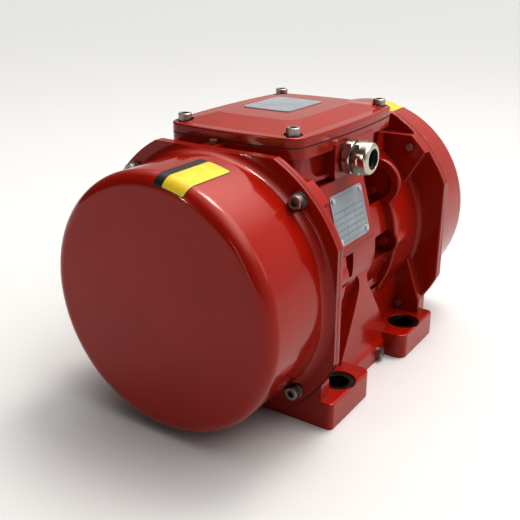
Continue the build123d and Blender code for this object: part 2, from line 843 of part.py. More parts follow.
with BuildPart() as rear_bearing_flange_bolts:
    with BuildSketch(section_plane(bearing_flange_outer_x - flange_bolt_head_height)):
        with Locations(*flange_bolts_at):
            Circle(flange_bolt_head_radius)
    extrude(amount=flange_bolt_head_height)
    with BuildSketch(section_plane(bearing_flange_outer_x)):
        with Locations(*flange_bolts_at):
            RegularPolygon(flange_bolt_radius, 6)
    extrude(amount=-flange_bolt_head_height / 2, mode=Mode.SUBTRACT)
    with BuildSketch(section_plane(flange_bolt_tip_x)):
        with Locations(*flange_bolts_at):
            Circle(flange_bolt_radius)
    extrude(amount=bearing_flange_outer_x - flange_bolt_head_height - flange_bolt_tip_x)
rear_bearing_flange_bolts.part.label = "rear_bearing_flange_bolts"

with BuildPart() as rear_grease_seal:
    add(tube(bearing_hub_inner_x, bearing_inner_x, lip_radius, seal_running_radius))
rear_grease_seal.part.label = "rear_grease_seal"

with BuildPart() as rear_bearing_circlip:
    add(tube(bearing_outer_x, bearing_outer_x + circlip_thickness, circlip_groove_radius,
             circlip_inner_radius))
rear_bearing_circlip.part.label = "rear_bearing_circlip"

# Roller bearing: outer ring with ribs, inner ring, rollers and cage
with BuildPart() as rear_bearing_outer_ring:
    add(tube(bearing_inner_x, bearing_outer_x, bearing_outer_radius, outer_ring_inner_radius))
    for rib_x in (bearing_inner_x, bearing_outer_x - rib_width):
        add(tube(rib_x, rib_x + rib_width, outer_ring_inner_radius + overlap, rib_inner_radius))
rear_bearing_outer_ring.part.label = "rear_bearing_outer_ring"

with BuildPart() as rear_bearing_inner_ring:
    add(tube(bearing_inner_x, bearing_outer_x, inner_ring_outer_radius, bearing_seat_radius))
rear_bearing_inner_ring.part.label = "rear_bearing_inner_ring"

bearing_middle_x = (bearing_inner_x + bearing_outer_x) / 2
with BuildPart() as rear_bearing_rollers:
    with BuildSketch(section_plane(bearing_middle_x - roller_half_length)):
        with PolarLocations(roller_circle_radius, roller_count):
            Circle(roller_radius)
    extrude(amount=2 * roller_half_length)
rear_bearing_rollers.part.label = "rear_bearing_rollers"

with BuildPart() as rear_bearing_cage:
    add(tube(bearing_middle_x - cage_half_length, bearing_middle_x + cage_half_length,
             cage_outer_radius, cage_inner_radius))
    with BuildSketch(section_plane(bearing_middle_x - roller_half_length - roller_pocket_play)):
        with PolarLocations(roller_circle_radius, roller_count):
            Circle(roller_radius + roller_pocket_play)
    extrude(amount=2 * (roller_half_length + roller_pocket_play), mode=Mode.SUBTRACT)
rear_bearing_cage.part.label = "rear_bearing_cage"

# Shaft with its steps, key seats and end grooves
with BuildPart() as shaft:
    with BuildSketch(section_plane(-shaft_end_x)):
        Circle(weight_seat_radius)
    extrude(amount=2 * shaft_end_x)
    chamfer(shaft.faces().filter_by(Axis.X).edges(), shaft_end_chamfer)
    with BuildSketch(section_plane(-spacer_outer_x)):
        Circle(bearing_seat_radius)
    extrude(amount=2 * spacer_outer_x)
    with BuildSketch(section_plane(-bearing_inner_x)):
        Circle(shaft_radius)
    extrude(amount=2 * bearing_inner_x)
    for side in both_sides:
        key_x = sorted((side * fixed_weight_x[0], side * fixed_weight_x[1]))
        add(bar(key_x, (-key_width / 2, key_width / 2), key_z), mode=Mode.SUBTRACT)
        groove_x = sorted((side * end_ring_x[0], side * end_ring_x[1]))
        add(tube(*groove_x, weight_seat_radius + overlap, end_groove_radius), mode=Mode.SUBTRACT)
shaft.part.label = "shaft"

with BuildPart() as rotor_core:
    add(tube(-core_half_length, core_half_length, rotor_radius, shaft_radius))
    with BuildSketch(section_plane(-core_half_length)):
        with PolarLocations(rotor_bar_circle, rotor_bar_count):
            Circle(rotor_bar_radius)
    extrude(amount=2 * core_half_length, mode=Mode.SUBTRACT)
rotor_core.part.label = "rotor_core"

with BuildPart() as rotor_cage:
    add(tube(core_half_length, core_half_length + rotor_ring_length, rotor_ring_outer, rotor_ring_inner))
    add(tube(-core_half_length - rotor_ring_length, -core_half_length, rotor_ring_outer, rotor_ring_inner))
    with BuildSketch(section_plane(-core_half_length)):
        with PolarLocations(rotor_bar_circle, rotor_bar_count):
            Circle(rotor_bar_radius)
    extrude(amount=2 * core_half_length)
rotor_cage.part.label = "rotor_cage"

with BuildPart() as stator_core:
    add(tube(-core_half_length, core_half_length, bore_radius, stator_inner_radius))
    with BuildSketch(section_plane(-core_half_length)):
        with PolarLocations(slot_circle, slot_count):
            Rectangle(slot_length, slot_width)
    extrude(amount=2 * core_half_length, mode=Mode.SUBTRACT)
stator_core.part.label = "stator_core"

with BuildPart() as stator_windings:
    for side in both_sides:
        with BuildPart(mode=Mode.PRIVATE) as end_turns:
            add(tube(*sorted((side * core_half_length, side * winding_end_x)), winding_outer_radius,
                     winding_inner_radius))
            rims = end_turns.faces().sort_by(Axis.X)[-1 if side > 0 else 0].edges()
            fillet(rims, winding_edge_radius)
        add(end_turns.part)
    with BuildSketch(section_plane(-core_half_length)):
        with PolarLocations(slot_circle, slot_count):
            Rectangle(slot_length, slot_width)
    extrude(amount=2 * core_half_length)
stator_windings.part.label = "stator_windings"

# Eccentric weights, hanging down at rest
with BuildPart() as rear_fixed_weight:
    with BuildSketch(section_plane(fixed_weight_x[0])):
        Circle(weight_radius)
        with Locations((0, weight_radius / 2)):
            Rectangle(2 * weight_radius, weight_radius, mode=Mode.SUBTRACT)
        Circle(weight_hub_radius)
        Circle(weight_seat_radius, mode=Mode.SUBTRACT)
    extrude(amount=fixed_weight_x[1] - fixed_weight_x[0])
    add(bar(fixed_weight_x, (-key_width / 2, key_width / 2), key_z), mode=Mode.SUBTRACT)
rear_fixed_weight.part.label = "rear_fixed_weight"

with BuildPart() as rear_adjustable_weight:
    with BuildSketch(section_plane(adjustable_weight_x[0])):
        Circle(weight_radius)
        with Locations((0, weight_radius / 2)):
            Rectangle(2 * weight_radius, weight_radius, mode=Mode.SUBTRACT)
        Circle(weight_hub_radius)
        with Locations((0, clamp_top / 2)):
            Rectangle(2 * clamp_half_width, clamp_top)
        Circle(weight_running_radius, mode=Mode.SUBTRACT)
        with Locations((0, clamp_top / 2)):
            Rectangle(clamp_slot, clamp_top, mode=Mode.SUBTRACT)
    extrude(amount=adjustable_weight_x[1] - adjustable_weight_x[0])
    with BuildSketch(side_plane(clamp_half_width)):
        with Locations(clamp_screw_at):
            Circle(screw_radius)
    extrude(amount=-2 * clamp_half_width, mode=Mode.SUBTRACT)
    with BuildSketch(side_plane(clamp_half_width)):
        with Locations(clamp_screw_at):
            Circle(screw_head_radius + screw_edge)
    extrude(amount=-clamp_recess_depth, mode=Mode.SUBTRACT)
rear_adjustable_weight.part.label = "rear_adjustable_weight"

with BuildPart() as rear_clamp_screw:
    seat = Plane(origin=(clamp_screw_at[0], clamp_recess_depth - clamp_half_width, clamp_screw_at[1]),
                 z_dir=(0, -1, 0))
    add(cap_screw(seat, 2 * clamp_half_width - clamp_recess_depth))
rear_clamp_screw.part.label = "rear_clamp_screw"

with BuildPart() as weight_keys:
    for side in both_sides:
        key_x = sorted((side * fixed_weight_x[0], side * fixed_weight_x[1]))
        add(bar(key_x, (-key_width / 2, key_width / 2), key_z))
weight_keys.part.label = "weight_keys"

with BuildPart() as shaft_spacers:
    for side in both_sides:
        spacer_x = sorted((side * bearing_outer_x, side * spacer_outer_x))
        add(tube(*spacer_x, spacer_radius, bearing_seat_radius))
shaft_spacers.part.label = "shaft_spacers"

with BuildPart() as shaft_end_rings:
    for side in both_sides:
        ring_x = sorted((side * end_ring_x[0], side * end_ring_x[1]))
        add(tube(*ring_x, end_ring_radius, end_groove_radius))
shaft_end_rings.part.label = "shaft_end_rings"

# Terminal box lid with its crown, gasket, screws and plate
with BuildPart() as terminal_box_lid:
    with BuildSketch(Plane.XY.offset(lid_bottom_z)):
        add(box_outline(0, 0))
    extrude(amount=lid_rim_top_z - lid_bottom_z)
    fillet(terminal_box_lid.faces().sort_by(Axis.Z)[-1].edges(), lid_edge_radius)
    with BuildPart(mode=Mode.PRIVATE) as crown:
        with BuildSketch(Plane.XY.offset(lid_rim_top_z)):
            RectangleRounded(2 * crown_base_x, 2 * crown_base_y, crown_corner_radius)
        with BuildSketch(Plane.XY.offset(lid_top_z)):
            RectangleRounded(2 * crown_top_x, 2 * crown_top_y, crown_corner_radius)
        loft()
        fillet(crown.faces().sort_by(Axis.Z)[-1].edges(), crown_edge_radius)
    add(crown.part)
    with BuildSketch(Plane.XY.offset(lid_seat_z)):
        with Locations(*lid_screws_at):
            Circle(lid_pocket_radius)
    extrude(amount=lid_top_z - lid_seat_z, mode=Mode.SUBTRACT)
    with BuildSketch(Plane.XY.offset(lid_bottom_z)):
        RectangleRounded(2 * lid_hollow_x, 2 * lid_hollow_y, lid_hollow_radius)
    extrude(amount=lid_rim_height, mode=Mode.SUBTRACT)
    with BuildSketch(Plane.XY.offset(lid_bottom_z)):
        with Locations(*lid_screws_at):
            Circle(screw_radius)
    extrude(amount=lid_seat_z - lid_bottom_z, mode=Mode.SUBTRACT)
terminal_box_lid.part.label = "terminal_box_lid"

with BuildPart() as lid_gasket:
    with BuildSketch(Plane.XY.offset(rim_top_z)):
        add(box_outline(0, 0))
        add(cavity_sketch(), mode=Mode.SUBTRACT)
        with Locations(*lid_screws_at):
            Circle(screw_radius, mode=Mode.SUBTRACT)
    extrude(amount=gasket_thickness)
lid_gasket.part.label = "lid_gasket"

with BuildPart() as lid_screws:
    for position in lid_screws_at:
        add(cap_screw(Plane(origin=(*position, lid_seat_z + washer_thickness)), lid_screw_length))
lid_screws.part.label = "lid_screws"

with BuildPart() as lid_washers:
    for position in lid_screws_at:
        add(washer(Plane(origin=(*position, lid_seat_z)), washer_radius, screw_radius, washer_thickness))
lid_washers.part.label = "lid_washers"

with BuildPart() as lid_plate:
    length, middle_x = spread(lid_plate_x)
    width, middle_y = spread(lid_plate_y)
    with BuildSketch(Plane.XY.offset(lid_top_z)):
        with Locations((middle_x, middle_y)):
            RectangleRounded(length, width, lid_plate_radius)
    extrude(amount=lid_plate_thickness)
lid_plate.part.label = "lid_plate"

# Nameplate and its rivets
with BuildPart() as nameplate:
    length, middle_x = spread(plate_x)
    height, middle_s = spread(plate_s)
    with BuildSketch(plate_plane):
        with Locations((middle_x, middle_s)):
            RectangleRounded(length, height, plate_corner_radius)
        with Locations(*rivets_at):
            Circle(rivet_radius, mode=Mode.SUBTRACT)
    extrude(amount=plate_thickness)
nameplate.part.label = "nameplate"

with BuildPart() as nameplate_rivets:
    with BuildSketch(plate_plane.offset(plate_thickness)):
        with Locations(*rivets_at):
            Circle(rivet_head_radius)
    extrude(amount=rivet_head_height)
    with BuildSketch(plate_plane.offset(plate_thickness)):
        with Locations(*rivets_at):
            Circle(rivet_radius)
    extrude(amount=-rivet_length)
nameplate_rivets.part.label = "nameplate_rivets"

# Cable gland in the side wall of the terminal box
gland_neck_y = gland_seat_y + gland_hex_length
gland_cap_y = gland_neck_y + gland_neck_length
gland_face_y = gland_cap_y + gland_cap_length
with BuildPart() as gland_body:
    add(chamfered_hexagon(gland_seat_y, gland_hex_length))
    with BuildSketch(side_plane(gland_neck_y)):
        with Locations((gland_x, gland_z)):
            Circle(gland_neck_radius)
    extrude(amount=gland_neck_length)
    with BuildSketch(side_plane(gland_inner_y)):
        with Locations((gland_x, gland_z)):
            Circle(gland_thread_radius)
    extrude(amount=gland_face_y - gland_cap_wall - gland_inner_y)
    with BuildSketch(side_plane(gland_inner_y)):
        with Locations((gland_x, gland_z)):
            Circle(gland_bore_radius)
    extrude(amount=gland_face_y - gland_inner_y, mode=Mode.SUBTRACT)
gland_body.part.label = "gland_body"

with BuildPart() as gland_cap_nut:
    with BuildSketch(side_plane(gland_cap_y)):
        with Locations((gland_x, gland_z)):
            Circle(gland_cap_radius)
    extrude(amount=gland_cap_length)
    fillet(gland_cap_nut.faces().sort_by(Axis.Y)[0].edges(), gland_cap_round)
    add(chamfered_hexagon(gland_cap_y, gland_cap_hex_length))
    with BuildSketch(side_plane(gland_cap_y)):
        with Locations((gland_x, gland_z)):
            Circle(gland_thread_radius)
    extrude(amount=gland_cap_length - gland_cap_wall, mode=Mode.SUBTRACT)
    with BuildSketch(side_plane(gland_cap_y)):
        with Locations((gland_x, gland_z)):
            Circle(gland_mouth_radius)
    extrude(amount=gland_cap_length, mode=Mode.SUBTRACT)
gland_cap_nut.part.label = "gland_cap_nut"

with BuildPart() as gland_seal:
    with BuildSketch(side_plane(gland_seat_y)):
        with Locations((gland_x, gland_z)):
            Circle(gland_bore_radius)
            Circle(gland_seal_bore_radius, mode=Mode.SUBTRACT)
    extrude(amount=gland_face_y - gland_cap_wall - gland_seat_y)
gland_seal.part.label = "gland_seal"

with BuildPart() as gland_ring:
    with BuildSketch(side_plane(gland_block_y)):
        with Locations((gland_x, gland_z)):
            Circle(gland_ring_radius)
            Circle(gland_thread_radius, mode=Mode.SUBTRACT)
    extrude(amount=gland_ring_thickness)
gland_ring.part.label = "gland_ring"

# Terminal block with barriers, studs, nuts and links
block_top_z = cavity_floor_z + block_height
columns_x = [block_centre_x + column * stud_spacing for column in (-1, 0, 1)]
studs_at = [(x, row * stud_row_y) for x in columns_x for row in both_sides]
with BuildPart() as terminal_block:
    with BuildSketch(Plane.XY.offset(cavity_floor_z)):
        with Locations((block_centre_x, 0)):
            Rectangle(2 * block_half_x, 2 * block_half_y)
    extrude(amount=block_height)
    with BuildSketch(Plane.XY.offset(block_top_z)):
        with Locations(*[(block_centre_x + column * stud_spacing / 2, 0) for column in both_sides]):
            Rectangle(barrier_thickness, 2 * block_half_y)
    extrude(amount=barrier_height)
    with BuildSketch(Plane.XY.offset(cavity_floor_z)):
        with Locations(*block_screws_at):
            Circle(block_screw_radius)
        with Locations(*studs_at):
            Circle(stud_radius)
    extrude(amount=block_height, mode=Mode.SUBTRACT)
terminal_block.part.label = "terminal_block"

with BuildPart() as terminal_studs:
    with BuildSketch(Plane.XY.offset(cavity_floor_z)):
        with Locations(*studs_at):
            Circle(stud_radius)
    extrude(amount=stud_top_z - cavity_floor_z)
terminal_studs.part.label = "terminal_studs"

with BuildPart() as terminal_links:
    with BuildSketch(Plane.XY.offset(block_top_z)):
        with Locations(*[(x, 0) for x in columns_x]):
            SlotCenterToCenter(2 * stud_row_y, link_width, rotation=90)
        with Locations(*studs_at):
            Circle(stud_radius, mode=Mode.SUBTRACT)
    extrude(amount=link_thickness)
terminal_links.part.label = "terminal_links"

with BuildPart() as terminal_nuts:
    with BuildSketch(Plane.XY.offset(block_top_z + link_thickness)):
        with Locations(*studs_at):
            RegularPolygon(nut_flats / 2, 6, major_radius=False)
            Circle(stud_radius, mode=Mode.SUBTRACT)
    extrude(amount=nut_height)
terminal_nuts.part.label = "terminal_nuts"

with BuildPart() as terminal_block_screws:
    with BuildSketch(Plane.XY.offset(block_top_z)):
        with Locations(*block_screws_at):
            Circle(block_screw_head_radius)
    extrude(amount=block_screw_head_height)
    with BuildSketch(Plane.XY.offset(block_top_z)):
        with Locations(*block_screws_at):
            Circle(block_screw_radius)
    extrude(amount=-block_height - block_screw_length)
terminal_block_screws.part.label = "terminal_block_screws"

# Earth screws outside and inside, and the grease plugs
with BuildPart() as earth_screw:
    with BuildSketch(side_plane(skirt_half_width)):
        with Locations((earth_x, earth_z)):
            Circle(earth_washer_radius)
    extrude(amount=earth_washer_thickness)
    with BuildSketch(side_plane(skirt_half_width + earth_washer_thickness)):
        with Locations((earth_x, earth_z)):
            RegularPolygon(earth_head_radius, 6, major_radius=False)
    extrude(amount=earth_head_height)
    with BuildSketch(side_plane(skirt_half_width)):
        with Locations((earth_x, earth_z)):
            Circle(earth_radius)
    extrude(amount=-earth_length)
earth_screw.part.label = "earth_screw"

inner_earth_top_z = cavity_floor_z + inner_earth_boss_height
with BuildPart() as inner_earth_screw:
    with BuildSketch(Plane.XY.offset(inner_earth_top_z)):
        with Locations((inner_earth_x, inner_earth_y)):
            RegularPolygon(earth_head_radius, 6, major_radius=False)
    extrude(amount=earth_head_height)
    with BuildSketch(Plane.XY.offset(inner_earth_top_z)):
        with Locations((inner_earth_x, inner_earth_y)):
            Circle(earth_radius)
    extrude(amount=-earth_length)
inner_earth_screw.part.label = "inner_earth_screw"

with BuildPart() as grease_plugs:
    with BuildSketch(Plane.XY.offset(grease_boss_top_z)):
        with Locations((-grease_x, grease_y), (grease_x, grease_y)):
            RegularPolygon(grease_plug_radius, 6)
    extrude(amount=grease_plug_height)
    with BuildSketch(Plane.XY.offset(grease_boss_top_z)):
        with Locations((-grease_x, grease_y), (grease_x, grease_y)):
            Circle(grease_bore_radius)
    extrude(amount=-grease_bore_depth)
grease_plugs.part.label = "grease_plugs"

# The front end is the rear end mirrored about the middle of the motor
with BuildPart() as front_cover:
    mirror(rear_cover.part, about=Plane.YZ)
front_cover.part.label = "front_cover"

with BuildPart() as front_cover_seal:
    mirror(rear_cover_seal.part, about=Plane.YZ)
front_cover_seal.part.label = "front_cover_seal"

with BuildPart() as front_cover_screws:
    mirror(rear_cover_screws.part, about=Plane.YZ)
front_cover_screws.part.label = "front_cover_screws"

with BuildPart() as front_cover_washers:
    mirror(rear_cover_washers.part, about=Plane.YZ)
front_cover_washers.part.label = "front_cover_washers"

with BuildPart() as front_bearing_flange:
    mirror(rear_bearing_flange.part, about=Plane.YZ)
front_bearing_flange.part.label = "front_bearing_flange"

with BuildPart() as front_bearing_flange_bolts:
    mirror(rear_bearing_flange_bolts.part, about=Plane.YZ)
front_bearing_flange_bolts.part.label = "front_bearing_flange_bolts"

with BuildPart() as front_grease_seal:
    mirror(rear_grease_seal.part, about=Plane.YZ)
front_grease_seal.part.label = "front_grease_seal"

with BuildPart() as front_bearing_circlip:
    mirror(rear_bearing_circlip.part, about=Plane.YZ)
front_bearing_circlip.part.label = "front_bearing_circlip"

with BuildPart() as front_bearing_outer_ring:
    mirror(rear_bearing_outer_ring.part, about=Plane.YZ)
front_bearing_outer_ring.part.label = "front_bearing_outer_ring"

with BuildPart() as front_bearing_inner_ring:
    mirror(rear_bearing_inner_ring.part, about=Plane.YZ)
front_bearing_inner_ring.part.label = "front_bearing_inner_ring"

with BuildPart() as front_bearing_rollers:
    mirror(rear_bearing_rollers.part, about=Plane.YZ)
front_bearing_rollers.part.label = "front_bearing_rollers"

with BuildPart() as front_bearing_cage:
    mirror(rear_bearing_cage.part, about=Plane.YZ)
front_bearing_cage.part.label = "front_bearing_cage"

with BuildPart() as front_fixed_weight:
    mirror(rear_fixed_weight.part, about=Plane.YZ)
front_fixed_weight.part.label = "front_fixed_weight"

with BuildPart() as front_adjustable_weight:
    mirror(rear_adjustable_weight.part, about=Plane.YZ)
front_adjustable_weight.part.label = "front_adjustable_weight"

with BuildPart() as front_clamp_screw:
    mirror(rear_clamp_screw.part, about=Plane.YZ)
front_clamp_screw.part.label = "front_clamp_screw"

pieces = [
    motor_housing, front_cover, rear_cover, front_cover_seal, rear_cover_seal, front_cover_screws,
    rear_cover_screws, front_cover_washers, rear_cover_washers, front_bearing_flange, rear_bearing_flange,
    front_bearing_flange_bolts, rear_bearing_flange_bolts, front_grease_seal, rear_grease_seal,
    front_bearing_circlip, rear_bearing_circlip, front_bearing_outer_ring, rear_bearing_outer_ring,
    front_bearing_inner_ring, rear_bearing_inner_ring, front_bearing_rollers, rear_bearing_rollers,
    front_bearing_cage, rear_bearing_cage, shaft, rotor_core, rotor_cage, stator_core, stator_windings,
    front_fixed_weight, rear_fixed_weight, front_adjustable_weight, rear_adjustable_weight,
    front_clamp_screw, rear_clamp_screw, weight_keys, shaft_spacers, shaft_end_rings, terminal_box_lid,
    lid_gasket, lid_screws, lid_washers, lid_plate, nameplate, nameplate_rivets, gland_body, gland_cap_nut,
    gland_seal, gland_ring, terminal_block, terminal_studs, terminal_links, terminal_nuts,
    terminal_block_screws, earth_screw, inner_earth_screw, grease_plugs,
]
os.makedirs("parts", exist_ok=True)
for piece in pieces:
    export_step(piece.part, f"parts/{piece.part.label}.step")
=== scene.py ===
import math
from typing import NamedTuple

import bmesh
import bpy
from mathutils import Matrix, Vector


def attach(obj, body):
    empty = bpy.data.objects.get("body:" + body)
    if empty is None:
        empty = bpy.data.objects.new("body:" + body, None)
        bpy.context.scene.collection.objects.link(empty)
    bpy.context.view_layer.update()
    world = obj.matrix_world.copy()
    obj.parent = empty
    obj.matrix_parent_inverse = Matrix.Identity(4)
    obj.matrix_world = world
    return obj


bl_info = {
    "name": "Vibration motor finishes",
    "version": (1, 0, 0),
    "blender": (4, 5, 0),
    "location": "View3D > Sidebar > Motor",
    "description": "Dresses the packed vibration motor with its paint, metals, labels and studio",
    "category": "Object",
}

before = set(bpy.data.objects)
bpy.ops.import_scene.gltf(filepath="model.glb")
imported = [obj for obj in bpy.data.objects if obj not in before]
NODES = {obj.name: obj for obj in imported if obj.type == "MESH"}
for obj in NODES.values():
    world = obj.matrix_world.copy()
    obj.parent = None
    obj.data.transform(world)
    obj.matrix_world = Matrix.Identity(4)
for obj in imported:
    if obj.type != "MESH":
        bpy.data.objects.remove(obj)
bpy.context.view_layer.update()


# Places and radii on the solids, in metres

SHAFT_HEIGHT = 0.098
COVER_RADIUS = 0.0935
COVER_RIM_RADIUS = 0.010
COVER_RIM_START = 0.1555
FOOT_BOLT_X = 0.060
FOOT_BOLT_Y = 0.085
FOOT_FACE_RADIUS = 0.01345
FOOT_HOLE_RADIUS = 0.0089
FOOT_FACE_LOW = 0.0190
FOOT_FACE_HIGH = 0.0211
BOLT_BARE_START = 0.047


# Cover labels

LABEL_START = 0.1175
LABEL_LOW_ANGLE = math.radians(70.5)
LABEL_CORNER = 0.0012
LABEL_GAP = 0.00002
LABEL_COLUMNS = 30
LABEL_ROWS = 20


# How fine each unevenness is, in waves to the metre

PAINT_PATCHES = 22.0
PAINT_GLOSS = 60.0
PAINT_DUST = 1900.0
CASTING_WAVES = 55.0
CASTING_GRAIN = 230.0
ORANGE_PEEL = 900.0
MACHINED_GRAIN = 900.0
METAL_TARNISH = 180.0
PLATE_TARNISH = 70.0
PLATE_GLOSS = 320.0
PLATE_BRUSHING = (40.0, 2600.0, 2600.0)
PRINT_WEAR = 500.0
FLOOR_PATCHES = 3.0


# Finishes

BLACK = (0.0, 0.0, 0.0)
WHITE = (1.0, 1.0, 1.0)
DUST_COLOUR = (0.20, 0.03, 0.02)
DUST_COVER = 0.25
PAINT_EDGE_RADIUS = 0.0006
METAL_EDGE_RADIUS = 0.0003
BRUSHING_DEPTH = 0.000012


# Studio, with lengths in metres, the camera's sensor in millimetres and power in watts

FLOOR_SIZE = 40.0
FLOOR_GAP = 0.0002
SENSOR_WIDTH = 36.0
SKY_TOWARDS = (0.75, -0.55)
SKY_SIDE_SPAN = (-0.60, 0.70)
SKY_RISE_SPAN = (0.42, 0.90)


class Softbox(NamedTuple):
    """A rectangular lamp and the point that it faces."""

    name: str
    place: tuple
    aim: tuple
    size: tuple
    power: float


SOFTBOXES = (
    Softbox("key_softbox", (-1.34, 0.57, 0.62), (-0.05, 0.0, 0.12), (0.040, 0.60), 2.0),
    Softbox("strip_softbox", (-1.36, -0.24, 0.32), (-0.1, 0.0, 0.1), (0.04, 0.50), 0.4),
    Softbox("overhead_softbox", (0.38, -0.15, 1.5), (0.0, 0.0, 0.1), (0.45, 0.45), 7.5),
    Softbox("side_softbox", (0.75, -1.35, 0.75), (0.0, 0.0, 0.1), (0.6, 0.6), 1.4),
)


class Ruling(NamedTuple):
    """A plate's printed empty fields, with the plate's lean from upright and its spans along and up."""

    lean: float
    along: tuple
    up: tuple
    row_height: float
    column_width: float
    heading: float


NAMEPLATE_RULING = Ruling(lean=math.radians(15.0), along=(-0.0405, 0.0045), up=(0.0025, 0.0365),
                          row_height=0.0046, column_width=0.0150, heading=0.0085)
LID_PLATE_RULING = Ruling(lean=math.radians(90.0), along=(-0.0185, 0.0285), up=(-0.0120, 0.0250),
                          row_height=0.0053, column_width=0.0235, heading=0.0080)


# Settings that a user would change


class MotorPaint(bpy.types.PropertyGroup):
    """Enamel on the castings and covers."""

    colour: bpy.props.FloatVectorProperty(
        name="Enamel", description="Colour of the red enamel", subtype="COLOR", size=3, min=0.0, max=1.0,
        default=(0.300, 0.0115, 0.0026))
    shade: bpy.props.FloatVectorProperty(
        name="Enamel shade", description="Deeper red where the enamel is thicker", subtype="COLOR", size=3,
        min=0.0, max=1.0, default=(0.275, 0.0095, 0.0022))
    gloss: bpy.props.FloatProperty(
        name="Roughness", description="Roughness of the enamel", subtype="FACTOR", min=0.0, max=1.0,
        default=0.19)
    texture_depth: bpy.props.FloatProperty(
        name="Casting texture", description="Height of the cast surface under the paint", subtype="DISTANCE",
        unit="LENGTH", min=0.0, max=0.001, default=0.00012)


class MotorMetals(bpy.types.PropertyGroup):
    """Bare metals."""

    zinc: bpy.props.FloatVectorProperty(
        name="Zinc plate", description="Colour of the plated screws", subtype="COLOR", size=3, min=0.0,
        max=1.0, default=(0.42, 0.41, 0.385))
    nickel: bpy.props.FloatVectorProperty(
        name="Nickel plate", description="Colour of the cable gland", subtype="COLOR", size=3, min=0.0,
        max=1.0, default=(0.62, 0.58, 0.51))
    brass: bpy.props.FloatVectorProperty(
        name="Brass", description="Colour of the bare brass pieces", subtype="COLOR", size=3, min=0.0,
        max=1.0, default=(0.70, 0.50, 0.20))
    iron: bpy.props.FloatVectorProperty(
        name="Bare iron", description="Colour of the unpainted machined faces", subtype="COLOR", size=3,
        min=0.0, max=1.0, default=(0.030, 0.026, 0.024))


class MotorLabels(bpy.types.PropertyGroup):
    """Blank labels on the covers, and the two plates."""

    yellow: bpy.props.FloatVectorProperty(
        name="Label field", description="Colour of the blank label field", subtype="COLOR", size=3, min=0.0,
        max=1.0, default=(0.50, 0.385, 0.022))
    band: bpy.props.FloatVectorProperty(
        name="Label band", description="Colour of the label's band and border", subtype="COLOR", size=3,
        min=0.0, max=1.0, default=(0.012, 0.012, 0.012))
    plate: bpy.props.FloatVectorProperty(
        name="Plate", description="Colour of the nameplate and the lid plate", subtype="COLOR", size=3,
        min=0.0, max=1.0, default=(0.37, 0.41, 0.45))
    ink: bpy.props.FloatVectorProperty(
        name="Ruled lines", description="Colour of the plates' ruled lines", subtype="COLOR", size=3,
        min=0.0, max=1.0, default=(0.055, 0.075, 0.11))
    rule_width: bpy.props.FloatProperty(
        name="Line width", description="Width of the plates' ruled lines", subtype="DISTANCE",
        unit="LENGTH", min=0.0001, max=0.002, default=0.00035)
    header: bpy.props.FloatProperty(
        name="Band width", description="Width of a cover label's dark band", subtype="DISTANCE",
        unit="LENGTH", min=0.0, max=0.02, default=0.0073)
    border: bpy.props.FloatProperty(
        name="Border width", description="Width of a cover label's dark border", subtype="DISTANCE",
        unit="LENGTH", min=0.0, max=0.005, default=0.0006)
    film: bpy.props.FloatProperty(
        name="Film", description="Thickness of a label's film", subtype="DISTANCE", unit="LENGTH",
        min=0.00002, max=0.001, default=0.00008)
    length: bpy.props.FloatProperty(
        name="Label length", description="Length of a cover label along the shaft", subtype="DISTANCE",
        unit="LENGTH", min=0.01, max=0.07, default=0.0505)
    width: bpy.props.FloatProperty(
        name="Label width", description="Width of a cover label round the cover", subtype="DISTANCE",
        unit="LENGTH", min=0.005, max=0.06, default=0.0261)


class MotorStudio(bpy.types.PropertyGroup):
    """Floor, lights and camera."""

    azimuth: bpy.props.FloatProperty(
        name="Azimuth", description="Camera angle round the motor", subtype="ANGLE", unit="ROTATION",
        default=math.radians(-56.343))
    elevation: bpy.props.FloatProperty(
        name="Elevation", description="Camera angle above the floor", subtype="ANGLE", unit="ROTATION",
        default=math.radians(21.713))
    eye: bpy.props.FloatVectorProperty(
        name="Eye", description="Place of the camera", subtype="TRANSLATION", unit="LENGTH", size=3,
        default=(-0.50458, -0.31092, 0.31499))
    lens: bpy.props.FloatProperty(
        name="Lens", description="Focal length of the camera in millimetres", min=10.0, max=200.0,
        default=52.51)
    light_colour: bpy.props.FloatVectorProperty(
        name="Light colour", description="Colour of the soft light", subtype="COLOR", size=3, min=0.0,
        max=1.0, default=(1.0, 0.975, 0.935))
    lamp_colour: bpy.props.FloatVectorProperty(
        name="Lamp colour", description="Colour of the softboxes", subtype="COLOR", size=3, min=0.0,
        max=1.0, default=(1.0, 0.93, 0.84))
    dim_horizon: bpy.props.FloatProperty(
        name="Dim horizon", description="Light near the floor before the front cover", min=0.0, max=5.0,
        default=0.05)
    bright_horizon: bpy.props.FloatProperty(
        name="Bright horizon", description="Light near the floor behind the gland's side", min=0.0, max=5.0,
        default=0.60)
    dim_sky: bpy.props.FloatProperty(
        name="Dim sky", description="Light from above before the front cover", min=0.0, max=5.0,
        default=0.05)
    bright_sky: bpy.props.FloatProperty(
        name="Bright sky", description="Light from above behind the gland's side", min=0.0, max=5.0,
        default=4.2)
    exposure: bpy.props.FloatProperty(
        name="Exposure", description="Exposure of the picture in stops", min=-5.0, max=5.0, default=0.38)
    contrast: bpy.props.FloatProperty(
        name="Contrast", description="Gamma of the picture; lower is stronger", min=0.2, max=3.0,
        default=0.75)
    floor_colour: bpy.props.FloatVectorProperty(
        name="Floor", description="Colour of the floor", subtype="COLOR", size=3, min=0.0, max=1.0,
        default=(0.520, 0.530, 0.545))


# Material building blocks


def new_material(name):
    """Node material with its nodes, links and shader."""
    material = bpy.data.materials.new(name)
    material.use_nodes = True
    shader = material.node_tree.nodes["Principled BSDF"]
    return material, material.node_tree.nodes, material.node_tree.links, shader


def motor_coordinates(nodes):
    """Coordinates of the motor's own frame, in metres."""
    return nodes.new("ShaderNodeTexCoord").outputs["Object"]


